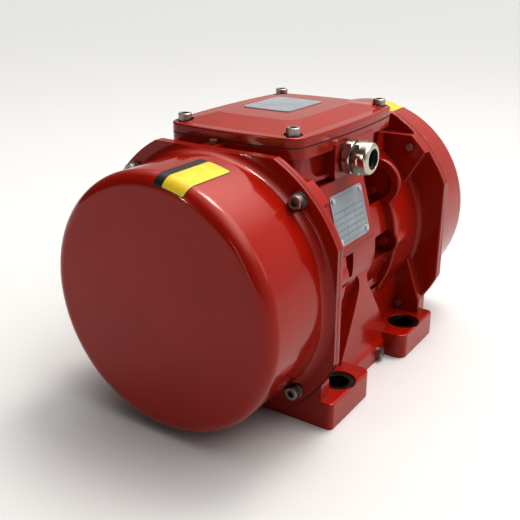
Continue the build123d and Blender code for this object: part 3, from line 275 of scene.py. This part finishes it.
def axes_of(nodes, links, coordinates):
    """The X, Y and Z sockets of coordinates."""
    split = nodes.new("ShaderNodeSeparateXYZ")
    links.new(coordinates, split.inputs["Vector"])
    return split.outputs["X"], split.outputs["Y"], split.outputs["Z"]


def noise(nodes, links, coordinates, scale, detail=3.0, roughness=0.5):
    """Noise texture in the motor's frame."""
    texture = nodes.new("ShaderNodeTexNoise")
    texture.inputs["Scale"].default_value = scale
    texture.inputs["Detail"].default_value = detail
    texture.inputs["Roughness"].default_value = roughness
    links.new(coordinates, texture.inputs["Vector"])
    return texture.outputs["Fac"]


def ramp(nodes, links, factor, low, high):
    """Colour ramp between two stops, each a position and its colour."""
    node = nodes.new("ShaderNodeValToRGB")
    for element, (position, colour) in zip(node.color_ramp.elements, (low, high)):
        element.position = position
        element.color = (*colour, 1.0)
    links.new(factor, node.inputs["Fac"])
    return node.outputs["Color"]


def spread_value(nodes, links, factor, low, high):
    """A factor of 0 to 1 turned into a range."""
    node = nodes.new("ShaderNodeMapRange")
    node.inputs["To Min"].default_value = low
    node.inputs["To Max"].default_value = high
    links.new(factor, node.inputs["Value"])
    return node.outputs["Result"]


def eased(nodes, links, value, low, high):
    """Smooth step of a value between two limits."""
    node = nodes.new("ShaderNodeMapRange")
    node.interpolation_type = "SMOOTHSTEP"
    node.inputs["From Min"].default_value = low
    node.inputs["From Max"].default_value = high
    links.new(value, node.inputs["Value"])
    return node.outputs["Result"]


def bump(nodes, links, height, distance, under=None):
    """Bump from a height field, over another normal if there is one."""
    node = nodes.new("ShaderNodeBump")
    node.inputs["Strength"].default_value = 1.0
    node.inputs["Distance"].default_value = distance
    links.new(height, node.inputs["Height"])
    if under is not None:
        links.new(under, node.inputs["Normal"])
    return node.outputs["Normal"]


def softened_edges(nodes, radius):
    """Normal with the edges rounded off."""
    node = nodes.new("ShaderNodeBevel")
    node.samples = 4
    node.inputs["Radius"].default_value = radius
    return node.outputs["Normal"]


def crevices(nodes, distance):
    """Occlusion mask for painted shade: 0 in sockets and corners, 1 in the open."""
    node = nodes.new("ShaderNodeAmbientOcclusion")
    node.samples = 6
    node.inputs["Distance"].default_value = distance
    return node.outputs["AO"]


def arithmetic(nodes, links, operation, first, second=None):
    """One step of arithmetic on sockets or numbers."""
    node = nodes.new("ShaderNodeMath")
    node.operation = operation
    for socket, value in zip(node.inputs, (first, second)):
        if value is None:
            continue
        if isinstance(value, (int, float)):
            socket.default_value = value
        else:
            links.new(value, socket)
    return node.outputs["Value"]


def mixed(nodes, links, factor, first, second):
    """Mix of two colours, each a socket or a colour."""
    node = nodes.new("ShaderNodeMix")
    node.data_type = "RGBA"
    links.new(factor, node.inputs["Factor"])
    for name, value in (("A", first), ("B", second)):
        socket = [s for s in node.inputs if s.name == name and s.type == "RGBA"][0]
        if isinstance(value, (tuple, list)):
            socket.default_value = (*value, 1.0)
        else:
            links.new(value, socket)
    return [s for s in node.outputs if s.type == "RGBA"][0]


def scaled(colour, share):
    """A colour made darker or lighter."""
    return tuple(channel * share for channel in colour)


def within(nodes, links, value, low, high):
    """1 where a value lies between two limits."""
    above = arithmetic(nodes, links, "GREATER_THAN", value, low)
    below = arithmetic(nodes, links, "LESS_THAN", value, high)
    return arithmetic(nodes, links, "MULTIPLY", above, below)


def inside_box(nodes, links, along, up, span_along, span_up, grow):
    """1 inside a rectangle that is grown on every side."""
    across = within(nodes, links, along, span_along[0] - grow, span_along[1] + grow)
    high = within(nodes, links, up, span_up[0] - grow, span_up[1] + grow)
    return arithmetic(nodes, links, "MULTIPLY", across, high)


# Enamel


def enamel_colour(nodes, links, coordinates, settings):
    """Red enamel that is slightly uneven, as sprayed paint is, with specks of dust in it."""
    patches = noise(nodes, links, coordinates, PAINT_PATCHES, 4.0)
    paint = ramp(nodes, links, patches, (0.35, settings.shade), (0.65, settings.colour))
    dust = noise(nodes, links, coordinates, PAINT_DUST, 2.0)
    specks = ramp(nodes, links, dust, (0.70, BLACK), (0.78, WHITE))
    cover = arithmetic(nodes, links, "MULTIPLY", specks, DUST_COVER)
    return mixed(nodes, links, cover, paint, DUST_COLOUR)


def enamel_relief(nodes, links, coordinates, depth, roughcast):
    """Rounded paint edges over the casting's waves and grain, and the paint's own peel."""
    normal = softened_edges(nodes, PAINT_EDGE_RADIUS)
    waves = noise(nodes, links, coordinates, CASTING_WAVES, 2.0)
    normal = bump(nodes, links, waves, depth * 1.5 * roughcast, normal)
    cast = noise(nodes, links, coordinates, CASTING_GRAIN, 4.0, 0.55)
    normal = bump(nodes, links, cast, depth * roughcast, normal)
    peel = noise(nodes, links, coordinates, ORANGE_PEEL, 2.0)
    return bump(nodes, links, peel, depth * 0.10, normal)


def enamel(name, settings, bare_place=None, bare_colour=None, bare_roughness=0.0, roughcast=1.0):
    """Gloss enamel over a cast or pressed surface; bare_place is the mask of the metal left bare."""
    material, nodes, links, shader = new_material(name)
    coordinates = motor_coordinates(nodes)
    colour = enamel_colour(nodes, links, coordinates, settings)
    gloss = spread_value(nodes, links, noise(nodes, links, coordinates, PAINT_GLOSS), settings.gloss - 0.05,
                         settings.gloss + 0.05)
    if bare_place:
        mask = bare_place(nodes, links, coordinates)
        grain = ramp(nodes, links, noise(nodes, links, coordinates, MACHINED_GRAIN),
                     (0.3, scaled(bare_colour, 0.6)), (0.7, bare_colour))
        colour = mixed(nodes, links, mask, colour, grain)
        rough = nodes.new("ShaderNodeMix")
        links.new(mask, rough.inputs["Factor"])
        links.new(gloss, rough.inputs["A"])
        rough.inputs["B"].default_value = bare_roughness
        gloss = rough.outputs["Result"]
        links.new(mask, shader.inputs["Metallic"])
    links.new(colour, shader.inputs["Base Color"])
    links.new(gloss, shader.inputs["Roughness"])
    shader.inputs["Specular IOR Level"].default_value = 0.22
    shader.inputs["Coat Weight"].default_value = 0.55
    shader.inputs["Coat Roughness"].default_value = 0.035
    normal = enamel_relief(nodes, links, coordinates, settings.texture_depth, roughcast)
    links.new(normal, shader.inputs["Normal"])
    links.new(normal, shader.inputs["Coat Normal"])
    return material


def foot_faces_mask(nodes, links, coordinates):
    """1 on the machined rings round the foot bolts and in their holes."""
    x, y, level = axes_of(nodes, links, coordinates)
    away = []
    for place, middle in ((x, FOOT_BOLT_X), (y, FOOT_BOLT_Y)):
        gap = arithmetic(nodes, links, "SUBTRACT", arithmetic(nodes, links, "ABSOLUTE", place), middle)
        away.append(arithmetic(nodes, links, "MULTIPLY", gap, gap))
    reach = arithmetic(nodes, links, "SQRT", arithmetic(nodes, links, "ADD", *away))
    ring = arithmetic(nodes, links, "MULTIPLY",
                      arithmetic(nodes, links, "LESS_THAN", reach, FOOT_FACE_RADIUS),
                      arithmetic(nodes, links, "GREATER_THAN", level, FOOT_FACE_LOW))
    hole = arithmetic(nodes, links, "LESS_THAN", reach, FOOT_HOLE_RADIUS)
    low = arithmetic(nodes, links, "LESS_THAN", level, FOOT_FACE_HIGH)
    return arithmetic(nodes, links, "MULTIPLY", arithmetic(nodes, links, "MAXIMUM", ring, hole), low)


def bolt_shank_mask(nodes, links, coordinates):
    """1 on the parts of the bearing flange bolts that stay unpainted, inside the drums."""
    along = arithmetic(nodes, links, "ABSOLUTE", axes_of(nodes, links, coordinates)[0])
    return arithmetic(nodes, links, "GREATER_THAN", along, BOLT_BARE_START)


# Metals, rubber and plastics


def bare_metal(name, colour, roughness, grain_scale=600.0, grain_depth=0.00003, spots=0.12, shade_reach=0.0,
               edge=0.0):
    """Plated or bare metal with fine grain, slightly uneven gloss, and painted shade in its sockets and
    corners.
    """
    material, nodes, links, shader = new_material(name)
    coordinates = motor_coordinates(nodes)
    tint = ramp(nodes, links, noise(nodes, links, coordinates, METAL_TARNISH, 4.0),
                (0.3, scaled(colour, 1.0 - spots * 2.0)), (0.65, colour))
    gloss = spread_value(nodes, links, noise(nodes, links, coordinates, grain_scale), roughness - 0.06,
                         roughness + 0.1)
    # Painted shade: within this reach of the occlusion, sockets and corners darken towards 8% of the metal's
    # colour
    if shade_reach:
        unshaded = ramp(nodes, links, crevices(nodes, shade_reach), (0.25, BLACK), (0.75, WHITE))
        tint = mixed(nodes, links, unshaded, scaled(colour, 0.08), tint)
    links.new(tint, shader.inputs["Base Color"])
    shader.inputs["Metallic"].default_value = 1.0
    links.new(gloss, shader.inputs["Roughness"])
    grain = noise(nodes, links, coordinates, grain_scale * 2.0, 3.0)
    under = softened_edges(nodes, edge) if edge else None
    links.new(bump(nodes, links, grain, grain_depth, under), shader.inputs["Normal"])
    return material


def matte(name, colour, roughness, grain_scale=500.0, grain_depth=0.00005):
    """Rubber, plastic and print with a fine grain."""
    material, nodes, links, shader = new_material(name)
    coordinates = motor_coordinates(nodes)
    light = tuple(min(1.0, channel * 1.25 + 0.004) for channel in colour)
    tint = ramp(nodes, links, noise(nodes, links, coordinates, grain_scale * 0.4, 4.0), (0.3, colour),
                (0.7, light))
    links.new(tint, shader.inputs["Base Color"])
    gloss = spread_value(nodes, links, noise(nodes, links, coordinates, grain_scale), roughness - 0.08,
                         roughness + 0.08)
    links.new(gloss, shader.inputs["Roughness"])
    grain = noise(nodes, links, coordinates, grain_scale * 2.0, 2.0)
    links.new(bump(nodes, links, grain, grain_depth), shader.inputs["Normal"])
    return material


# Plates


def ruled_lines(nodes, links, along, up, ruling, width):
    """1 on the lines between a plate's empty fields and on the frame round them."""
    place = nodes.new("ShaderNodeCombineXYZ")
    links.new(arithmetic(nodes, links, "SUBTRACT", along, ruling.along[0]), place.inputs["X"])
    links.new(arithmetic(nodes, links, "SUBTRACT", up, ruling.up[0]), place.inputs["Y"])
    rules = nodes.new("ShaderNodeTexBrick")
    rules.offset = 0.0
    rules.offset_frequency = 1
    rules.inputs["Scale"].default_value = 1.0
    rules.inputs["Brick Width"].default_value = ruling.column_width
    rules.inputs["Row Height"].default_value = ruling.row_height
    rules.inputs["Mortar Size"].default_value = width
    rules.inputs["Mortar Smooth"].default_value = 0.1
    links.new(place.outputs["Vector"], rules.inputs["Vector"])
    under_heading = (ruling.up[0], ruling.up[1] - ruling.heading)
    fields = inside_box(nodes, links, along, up, ruling.along, under_heading, 0.0)
    lines = arithmetic(nodes, links, "MULTIPLY", rules.outputs["Fac"], fields)
    outer = inside_box(nodes, links, along, up, ruling.along, ruling.up, width / 2)
    inner = inside_box(nodes, links, along, up, ruling.along, ruling.up, -width / 2)
    border = arithmetic(nodes, links, "SUBTRACT", outer, inner)
    return arithmetic(nodes, links, "MAXIMUM", lines, border)


def ruled_plate(name, settings, ruling):
    """Satin brushed plate printed with ruled empty fields."""
    material, nodes, links, shader = new_material(name)
    coordinates = motor_coordinates(nodes)
    along, y, z = axes_of(nodes, links, coordinates)
    level = arithmetic(nodes, links, "SUBTRACT", z, SHAFT_HEIGHT)
    up = arithmetic(nodes, links, "ADD",
                    arithmetic(nodes, links, "MULTIPLY", y, math.sin(ruling.lean)),
                    arithmetic(nodes, links, "MULTIPLY", level, math.cos(ruling.lean)))
    ink = ruled_lines(nodes, links, along, up, ruling, settings.rule_width)
    wear = spread_value(nodes, links, noise(nodes, links, coordinates, PRINT_WEAR), 0.30, 0.62)
    plate = tuple(settings.plate)
    tarnish = noise(nodes, links, coordinates, PLATE_TARNISH, 5.0)
    shade = ramp(nodes, links, tarnish, (0.3, scaled(plate, 0.84)), (0.7, plate))
    worn = arithmetic(nodes, links, "MULTIPLY", ink, wear)
    printed = mixed(nodes, links, worn, shade, tuple(settings.ink))
    links.new(printed, shader.inputs["Base Color"])
    shader.inputs["Metallic"].default_value = 0.55
    gloss = spread_value(nodes, links, noise(nodes, links, coordinates, PLATE_GLOSS), 0.34, 0.46)
    links.new(gloss, shader.inputs["Roughness"])
    brushing = nodes.new("ShaderNodeMapping")
    brushing.inputs["Scale"].default_value = PLATE_BRUSHING
    links.new(coordinates, brushing.inputs["Vector"])
    strokes = noise(nodes, links, brushing.outputs["Vector"], 1.0, 2.0)
    links.new(bump(nodes, links, strokes, BRUSHING_DEPTH), shader.inputs["Normal"])
    return material


# Pieces


def dress(material, *names):
    """Gives CAD nodes a material."""
    for name in names:
        slots = NODES[name].material_slots
        if not slots:
            raise RuntimeError(f"{name} has no material slot")
        for slot in slots:
            slot.material = material


def both_ends(*names):
    """Front and rear names of pieces that come in pairs."""
    return [f"{end}_{name}" for end in ("front", "rear") for name in names]


def cover_profile(reach):
    """Place along the shaft, radius and outward direction, at a reach from a label's inner end."""
    straight = COVER_RIM_START - LABEL_START
    if reach <= straight:
        return LABEL_START + reach, COVER_RADIUS, (0.0, 1.0)
    turn = (reach - straight) / COVER_RIM_RADIUS
    along, out = math.sin(turn), math.cos(turn)
    return (COVER_RIM_START + COVER_RIM_RADIUS * along,
            COVER_RADIUS - COVER_RIM_RADIUS + COVER_RIM_RADIUS * out, (along, out))


def label_surface(build, side, start, length, low, width, corner, height):
    """Grid at a height above a cover; length runs over the rim, and width round from the low angle."""
    grid = []
    for row in range(LABEL_ROWS + 1):
        across = row / LABEL_ROWS * width
        inset = max(0.0, corner - min(across, width - across))
        trim = corner - math.sqrt(max(0.0, corner * corner - inset * inset))
        turn = low + across / COVER_RADIUS
        line = []
        for column in range(LABEL_COLUMNS + 1):
            reach = start + trim + column / LABEL_COLUMNS * (length - 2 * trim)
            along, radius, (out_x, out_r) = cover_profile(reach)
            radius += height * out_r
            line.append(build.verts.new((side * (along + height * out_x), -radius * math.cos(turn),
                                         SHAFT_HEIGHT + radius * math.sin(turn))))
        grid.append(line)
    for row in range(LABEL_ROWS):
        for column in range(LABEL_COLUMNS):
            build.faces.new((grid[row][column], grid[row][column + 1], grid[row + 1][column + 1],
                             grid[row + 1][column]))
    return grid


def wrapped_label(name, side, start, length, low, width, corner, lift, thickness):
    """Closed thin film with rounded corners, wrapped over a cover and its rim."""
    build = bmesh.new()
    under, over = (label_surface(build, side, start, length, low, width, corner, height)
                   for height in (lift, lift + thickness))
    edge = [(0, column) for column in range(LABEL_COLUMNS)]
    edge += [(row, LABEL_COLUMNS) for row in range(LABEL_ROWS)]
    edge += [(LABEL_ROWS, column) for column in range(LABEL_COLUMNS, 0, -1)]
    edge += [(row, 0) for row in range(LABEL_ROWS, 0, -1)]
    for (row, column), (next_row, next_column) in zip(edge, edge[1:] + edge[:1]):
        build.faces.new((under[row][column], under[next_row][next_column], over[next_row][next_column],
                         over[row][column]))
    bmesh.ops.recalc_face_normals(build, faces=build.faces)
    mesh_data = bpy.data.meshes.new(name)
    build.to_mesh(mesh_data)
    build.free()
    return mesh_data


def stick_on_cover(name, mesh_data, material):
    """New piece that is fixed to the motor and takes the given material."""
    piece = bpy.data.objects.new(name, mesh_data)
    bpy.context.scene.collection.objects.link(piece)
    piece.data.materials.append(material)
    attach(piece, "motor")


# Studio


def lay_floor(settings):
    """Pale matt floor just under the feet."""
    bpy.ops.mesh.primitive_plane_add(size=FLOOR_SIZE, location=(0.0, 0.0, -FLOOR_GAP))
    floor = bpy.context.active_object
    floor.name = "studio_floor"
    material, nodes, links, shader = new_material("studio_floor")
    shade = ramp(nodes, links, noise(nodes, links, motor_coordinates(nodes), FLOOR_PATCHES),
                 (0.2, scaled(settings.floor_colour, 0.99)), (0.8, settings.floor_colour))
    links.new(shade, shader.inputs["Base Color"])
    shader.inputs["Roughness"].default_value = 0.9
    floor.data.materials.append(material)


def soft_sky(settings):
    """Soft light, strong overhead and behind the gland's side, weak before the front cover."""
    world = bpy.data.worlds.new("studio_air")
    world.use_nodes = True
    nodes, links = world.node_tree.nodes, world.node_tree.links
    x, y, z = axes_of(nodes, links, nodes.new("ShaderNodeTexCoord").outputs["Generated"])
    towards = arithmetic(nodes, links, "ADD",
                         arithmetic(nodes, links, "MULTIPLY", x, SKY_TOWARDS[0]),
                         arithmetic(nodes, links, "MULTIPLY", y, SKY_TOWARDS[1]))
    side = eased(nodes, links, towards, *SKY_SIDE_SPAN)
    rise = eased(nodes, links, z, *SKY_RISE_SPAN)
    low = spread_value(nodes, links, side, settings.dim_horizon, settings.bright_horizon)
    high = spread_value(nodes, links, side, settings.dim_sky, settings.bright_sky)
    lower = arithmetic(nodes, links, "MULTIPLY", low, arithmetic(nodes, links, "SUBTRACT", 1.0, rise))
    upper = arithmetic(nodes, links, "MULTIPLY", high, rise)
    nodes["Background"].inputs["Color"].default_value = (*settings.light_colour, 1.0)
    links.new(arithmetic(nodes, links, "ADD", lower, upper), nodes["Background"].inputs["Strength"])
    bpy.context.scene.world = world


def hang_softboxes(settings):
    """Softboxes at their places, each turned to the point that it faces."""
    for box in SOFTBOXES:
        light = bpy.data.lights.new(box.name, "AREA")
        light.shape = "RECTANGLE"
        light.size, light.size_y = box.size
        light.energy = box.power
        light.color = settings.lamp_colour
        lamp = bpy.data.objects.new(box.name, light)
        bpy.context.scene.collection.objects.link(lamp)
        lamp.location = box.place
        direction = Vector(box.aim) - Vector(box.place)
        lamp.rotation_euler = direction.to_track_quat("-Z", "Y").to_euler()


def place_camera(settings):
    """Camera at the photo's place, turned by its two angles."""
    data = bpy.data.cameras.new("photo_camera")
    data.lens = settings.lens
    data.sensor_width = SENSOR_WIDTH
    camera = bpy.data.objects.new("photo_camera", data)
    bpy.context.scene.collection.objects.link(camera)
    turn, tilt = settings.azimuth, settings.elevation
    right = Vector((math.cos(turn), math.sin(turn), 0.0))
    back = Vector((math.sin(turn) * math.cos(tilt), -math.cos(turn) * math.cos(tilt), math.sin(tilt)))
    axes = Matrix((right, back.cross(right), back)).transposed().to_4x4()
    camera.matrix_world = Matrix.Translation(Vector(settings.eye)) @ axes
    bpy.context.scene.camera = camera


# Operators, one for each piece or group of like pieces


class MOTOR_OT_paint_castings(bpy.types.Operator):
    """Paint the housing, covers, lid and the ends of the bearing flange bolts"""

    bl_idname = "motor.paint_castings"
    bl_label = "Paint castings"

    def execute(self, context):
        paint = context.scene.motor_paint
        iron = tuple(context.scene.motor_metals.iron)
        zinc = tuple(context.scene.motor_metals.zinc)
        dress(enamel("enamel_on_casting", paint, foot_faces_mask, iron, 0.45), "motor_housing")
        dress(enamel("enamel_on_covers", paint, roughcast=0.25), "front_cover", "rear_cover")
        dress(enamel("enamel_on_lid", paint, roughcast=0.6), "terminal_box_lid")
        dress(enamel("enamel_on_bolt_ends", paint, bolt_shank_mask, zinc, 0.35),
              *both_ends("bearing_flange_bolts"))
        return {"FINISHED"}


class MOTOR_OT_finish_fasteners(bpy.types.Operator):
    """Zinc plate on the screws and washers, and the sheet and rubber of the seals"""

    bl_idname = "motor.finish_fasteners"
    bl_label = "Finish fasteners"

    def execute(self, context):
        zinc = tuple(context.scene.motor_metals.zinc)
        # The screws and washers carry painted shade in their sockets and corners
        dress(bare_metal("zinc_plate", zinc, 0.34, shade_reach=0.0035, edge=METAL_EDGE_RADIUS),
              *both_ends("cover_screws", "cover_washers", "clamp_screw"),
              "lid_screws", "lid_washers", "earth_screw", "inner_earth_screw", "terminal_block_screws")
        dress(matte("gasket_sheet", (0.012, 0.007, 0.006), 0.7), "lid_gasket", *both_ends("cover_seal"))
        dress(matte("seal_rubber", (0.022, 0.022, 0.021), 0.55), "gland_seal", "gland_ring",
              *both_ends("grease_seal"))
        return {"FINISHED"}


class MOTOR_OT_finish_gland(bpy.types.Operator):
    """Nickel plate on the cable gland's body and cap nut"""

    bl_idname = "motor.finish_gland"
    bl_label = "Finish cable gland"

    def execute(self, context):
        nickel = tuple(context.scene.motor_metals.nickel)
        # The gland carries painted shade in its recesses and corners
        dress(bare_metal("nickel_plate", nickel, 0.23, grain_scale=300.0, grain_depth=0.00001, spots=0.06,
                         shade_reach=0.003, edge=METAL_EDGE_RADIUS), "gland_body", "gland_cap_nut")
        return {"FINISHED"}


class MOTOR_OT_finish_inner_pieces(bpy.types.Operator):
    """Metals and plastics inside the motor and the terminal box, and dull brass on the grease plugs"""

    bl_idname = "motor.finish_inner_pieces"
    bl_label = "Finish inner pieces"

    def execute(self, context):
        brass = tuple(context.scene.motor_metals.brass)
        dress(bare_metal("ground_steel", (0.62, 0.62, 0.63), 0.22),
              "shaft", "weight_keys", "shaft_spacers", "shaft_end_rings",
              *both_ends("bearing_outer_ring", "bearing_inner_ring", "bearing_rollers", "bearing_circlip"))
        dress(bare_metal("cut_steel_plate", (0.26, 0.26, 0.27), 0.5, grain_scale=300.0, grain_depth=0.0001),
              *both_ends("fixed_weight", "adjustable_weight", "bearing_flange"))
        dress(bare_metal("stacked_sheet_steel", (0.30, 0.30, 0.32), 0.5), "stator_core", "rotor_core")
        dress(bare_metal("cast_aluminium", (0.66, 0.66, 0.67), 0.42), "rotor_cage")
        dress(bare_metal("enamelled_copper", (0.50, 0.20, 0.09), 0.35), "stator_windings")
        dress(bare_metal("bare_brass", brass, 0.28),
              "terminal_studs", "terminal_links", "terminal_nuts", *both_ends("bearing_cage"))
        # The grease plugs carry painted shade in their recesses and corners
        dress(bare_metal("dull_brass", scaled(brass, 0.35), 0.5, shade_reach=0.003), "grease_plugs")
        dress(matte("moulded_phenolic", (0.05, 0.035, 0.03), 0.45), "terminal_block")
        return {"FINISHED"}


class MOTOR_OT_finish_plates(bpy.types.Operator):
    """Satin aluminium on the nameplate, its rivets and the lid plate"""

    bl_idname = "motor.finish_plates"
    bl_label = "Finish plates"

    def execute(self, context):
        labels = context.scene.motor_labels
        dress(ruled_plate("nameplate_satin", labels, NAMEPLATE_RULING), "nameplate")
        dress(ruled_plate("lid_plate_satin", labels, LID_PLATE_RULING), "lid_plate")
        dress(bare_metal("rivet_aluminium", (0.72, 0.72, 0.72), 0.3), "nameplate_rivets")
        return {"FINISHED"}


class MOTOR_OT_stick_cover_labels(bpy.types.Operator):
    """Blank yellow labels with a dark band, one on each cover"""

    bl_idname = "motor.stick_cover_labels"
    bl_label = "Stick cover labels"

    def execute(self, context):
        labels = context.scene.motor_labels
        border, film = labels.border, labels.film
        backing = matte("label_band", tuple(labels.band), 0.35, grain_scale=300.0, grain_depth=0.00001)
        field = matte("label_field", tuple(labels.yellow), 0.35, grain_scale=300.0, grain_depth=0.00001)
        for end, side in (("front", -1), ("rear", 1)):
            base = wrapped_label(f"{end}_label_band", side, start=0.0, length=labels.length,
                                 low=LABEL_LOW_ANGLE, width=labels.width, corner=LABEL_CORNER,
                                 lift=LABEL_GAP, thickness=film)
            stick_on_cover(f"{end}_label_band", base, backing)
            face = wrapped_label(f"{end}_label_field", side, start=border, length=labels.length - 2 * border,
                                 low=LABEL_LOW_ANGLE + border / COVER_RADIUS,
                                 width=labels.width - labels.header - border, corner=LABEL_CORNER / 2,
                                 lift=LABEL_GAP + film, thickness=film)
            stick_on_cover(f"{end}_label_field", face, field)
        return {"FINISHED"}


class MOTOR_OT_set_studio(bpy.types.Operator):
    """Pale floor, soft lights and the camera"""

    bl_idname = "motor.set_studio"
    bl_label = "Set studio"

    def execute(self, context):
        studio = context.scene.motor_studio
        lay_floor(studio)
        soft_sky(studio)
        hang_softboxes(studio)
        place_camera(studio)
        view = context.scene.view_settings
        view.view_transform = "Standard"
        view.exposure = studio.exposure
        view.gamma = studio.contrast
        return {"FINISHED"}


class MOTOR_PT_finishes(bpy.types.Panel):
    """The motor's pieces and settings in the sidebar."""

    bl_idname = "MOTOR_PT_finishes"
    bl_label = "Vibration motor"
    bl_space_type = "VIEW_3D"
    bl_region_type = "UI"
    bl_category = "Motor"

    def draw(self, context):
        for operator in OPERATORS:
            self.layout.operator(operator.bl_idname)
        for name in SETTINGS:
            group = getattr(context.scene, name)
            for key in group.bl_rna.properties.keys():
                if key not in ("rna_type", "name"):
                    self.layout.prop(group, key)


OPERATORS = (
    MOTOR_OT_paint_castings,
    MOTOR_OT_finish_fasteners,
    MOTOR_OT_finish_gland,
    MOTOR_OT_finish_inner_pieces,
    MOTOR_OT_finish_plates,
    MOTOR_OT_stick_cover_labels,
    MOTOR_OT_set_studio,
)
SETTINGS = {
    "motor_paint": MotorPaint,
    "motor_metals": MotorMetals,
    "motor_labels": MotorLabels,
    "motor_studio": MotorStudio,
}


def register():
    for group in SETTINGS.values():
        bpy.utils.register_class(group)
    for operator in OPERATORS:
        bpy.utils.register_class(operator)
    bpy.utils.register_class(MOTOR_PT_finishes)
    for name, group in SETTINGS.items():
        setattr(bpy.types.Scene, name, bpy.props.PointerProperty(type=group))


def unregister():
    for name in SETTINGS:
        delattr(bpy.types.Scene, name)
    bpy.utils.unregister_class(MOTOR_PT_finishes)
    for operator in reversed(OPERATORS):
        bpy.utils.unregister_class(operator)
    for group in reversed(list(SETTINGS.values())):
        bpy.utils.unregister_class(group)


def main():
    register()
    bpy.ops.motor.paint_castings()
    bpy.ops.motor.finish_fasteners()
    bpy.ops.motor.finish_gland()
    bpy.ops.motor.finish_inner_pieces()
    bpy.ops.motor.finish_plates()
    bpy.ops.motor.stick_cover_labels()
    bpy.ops.motor.set_studio()


if __name__ == "__main__":
    main()
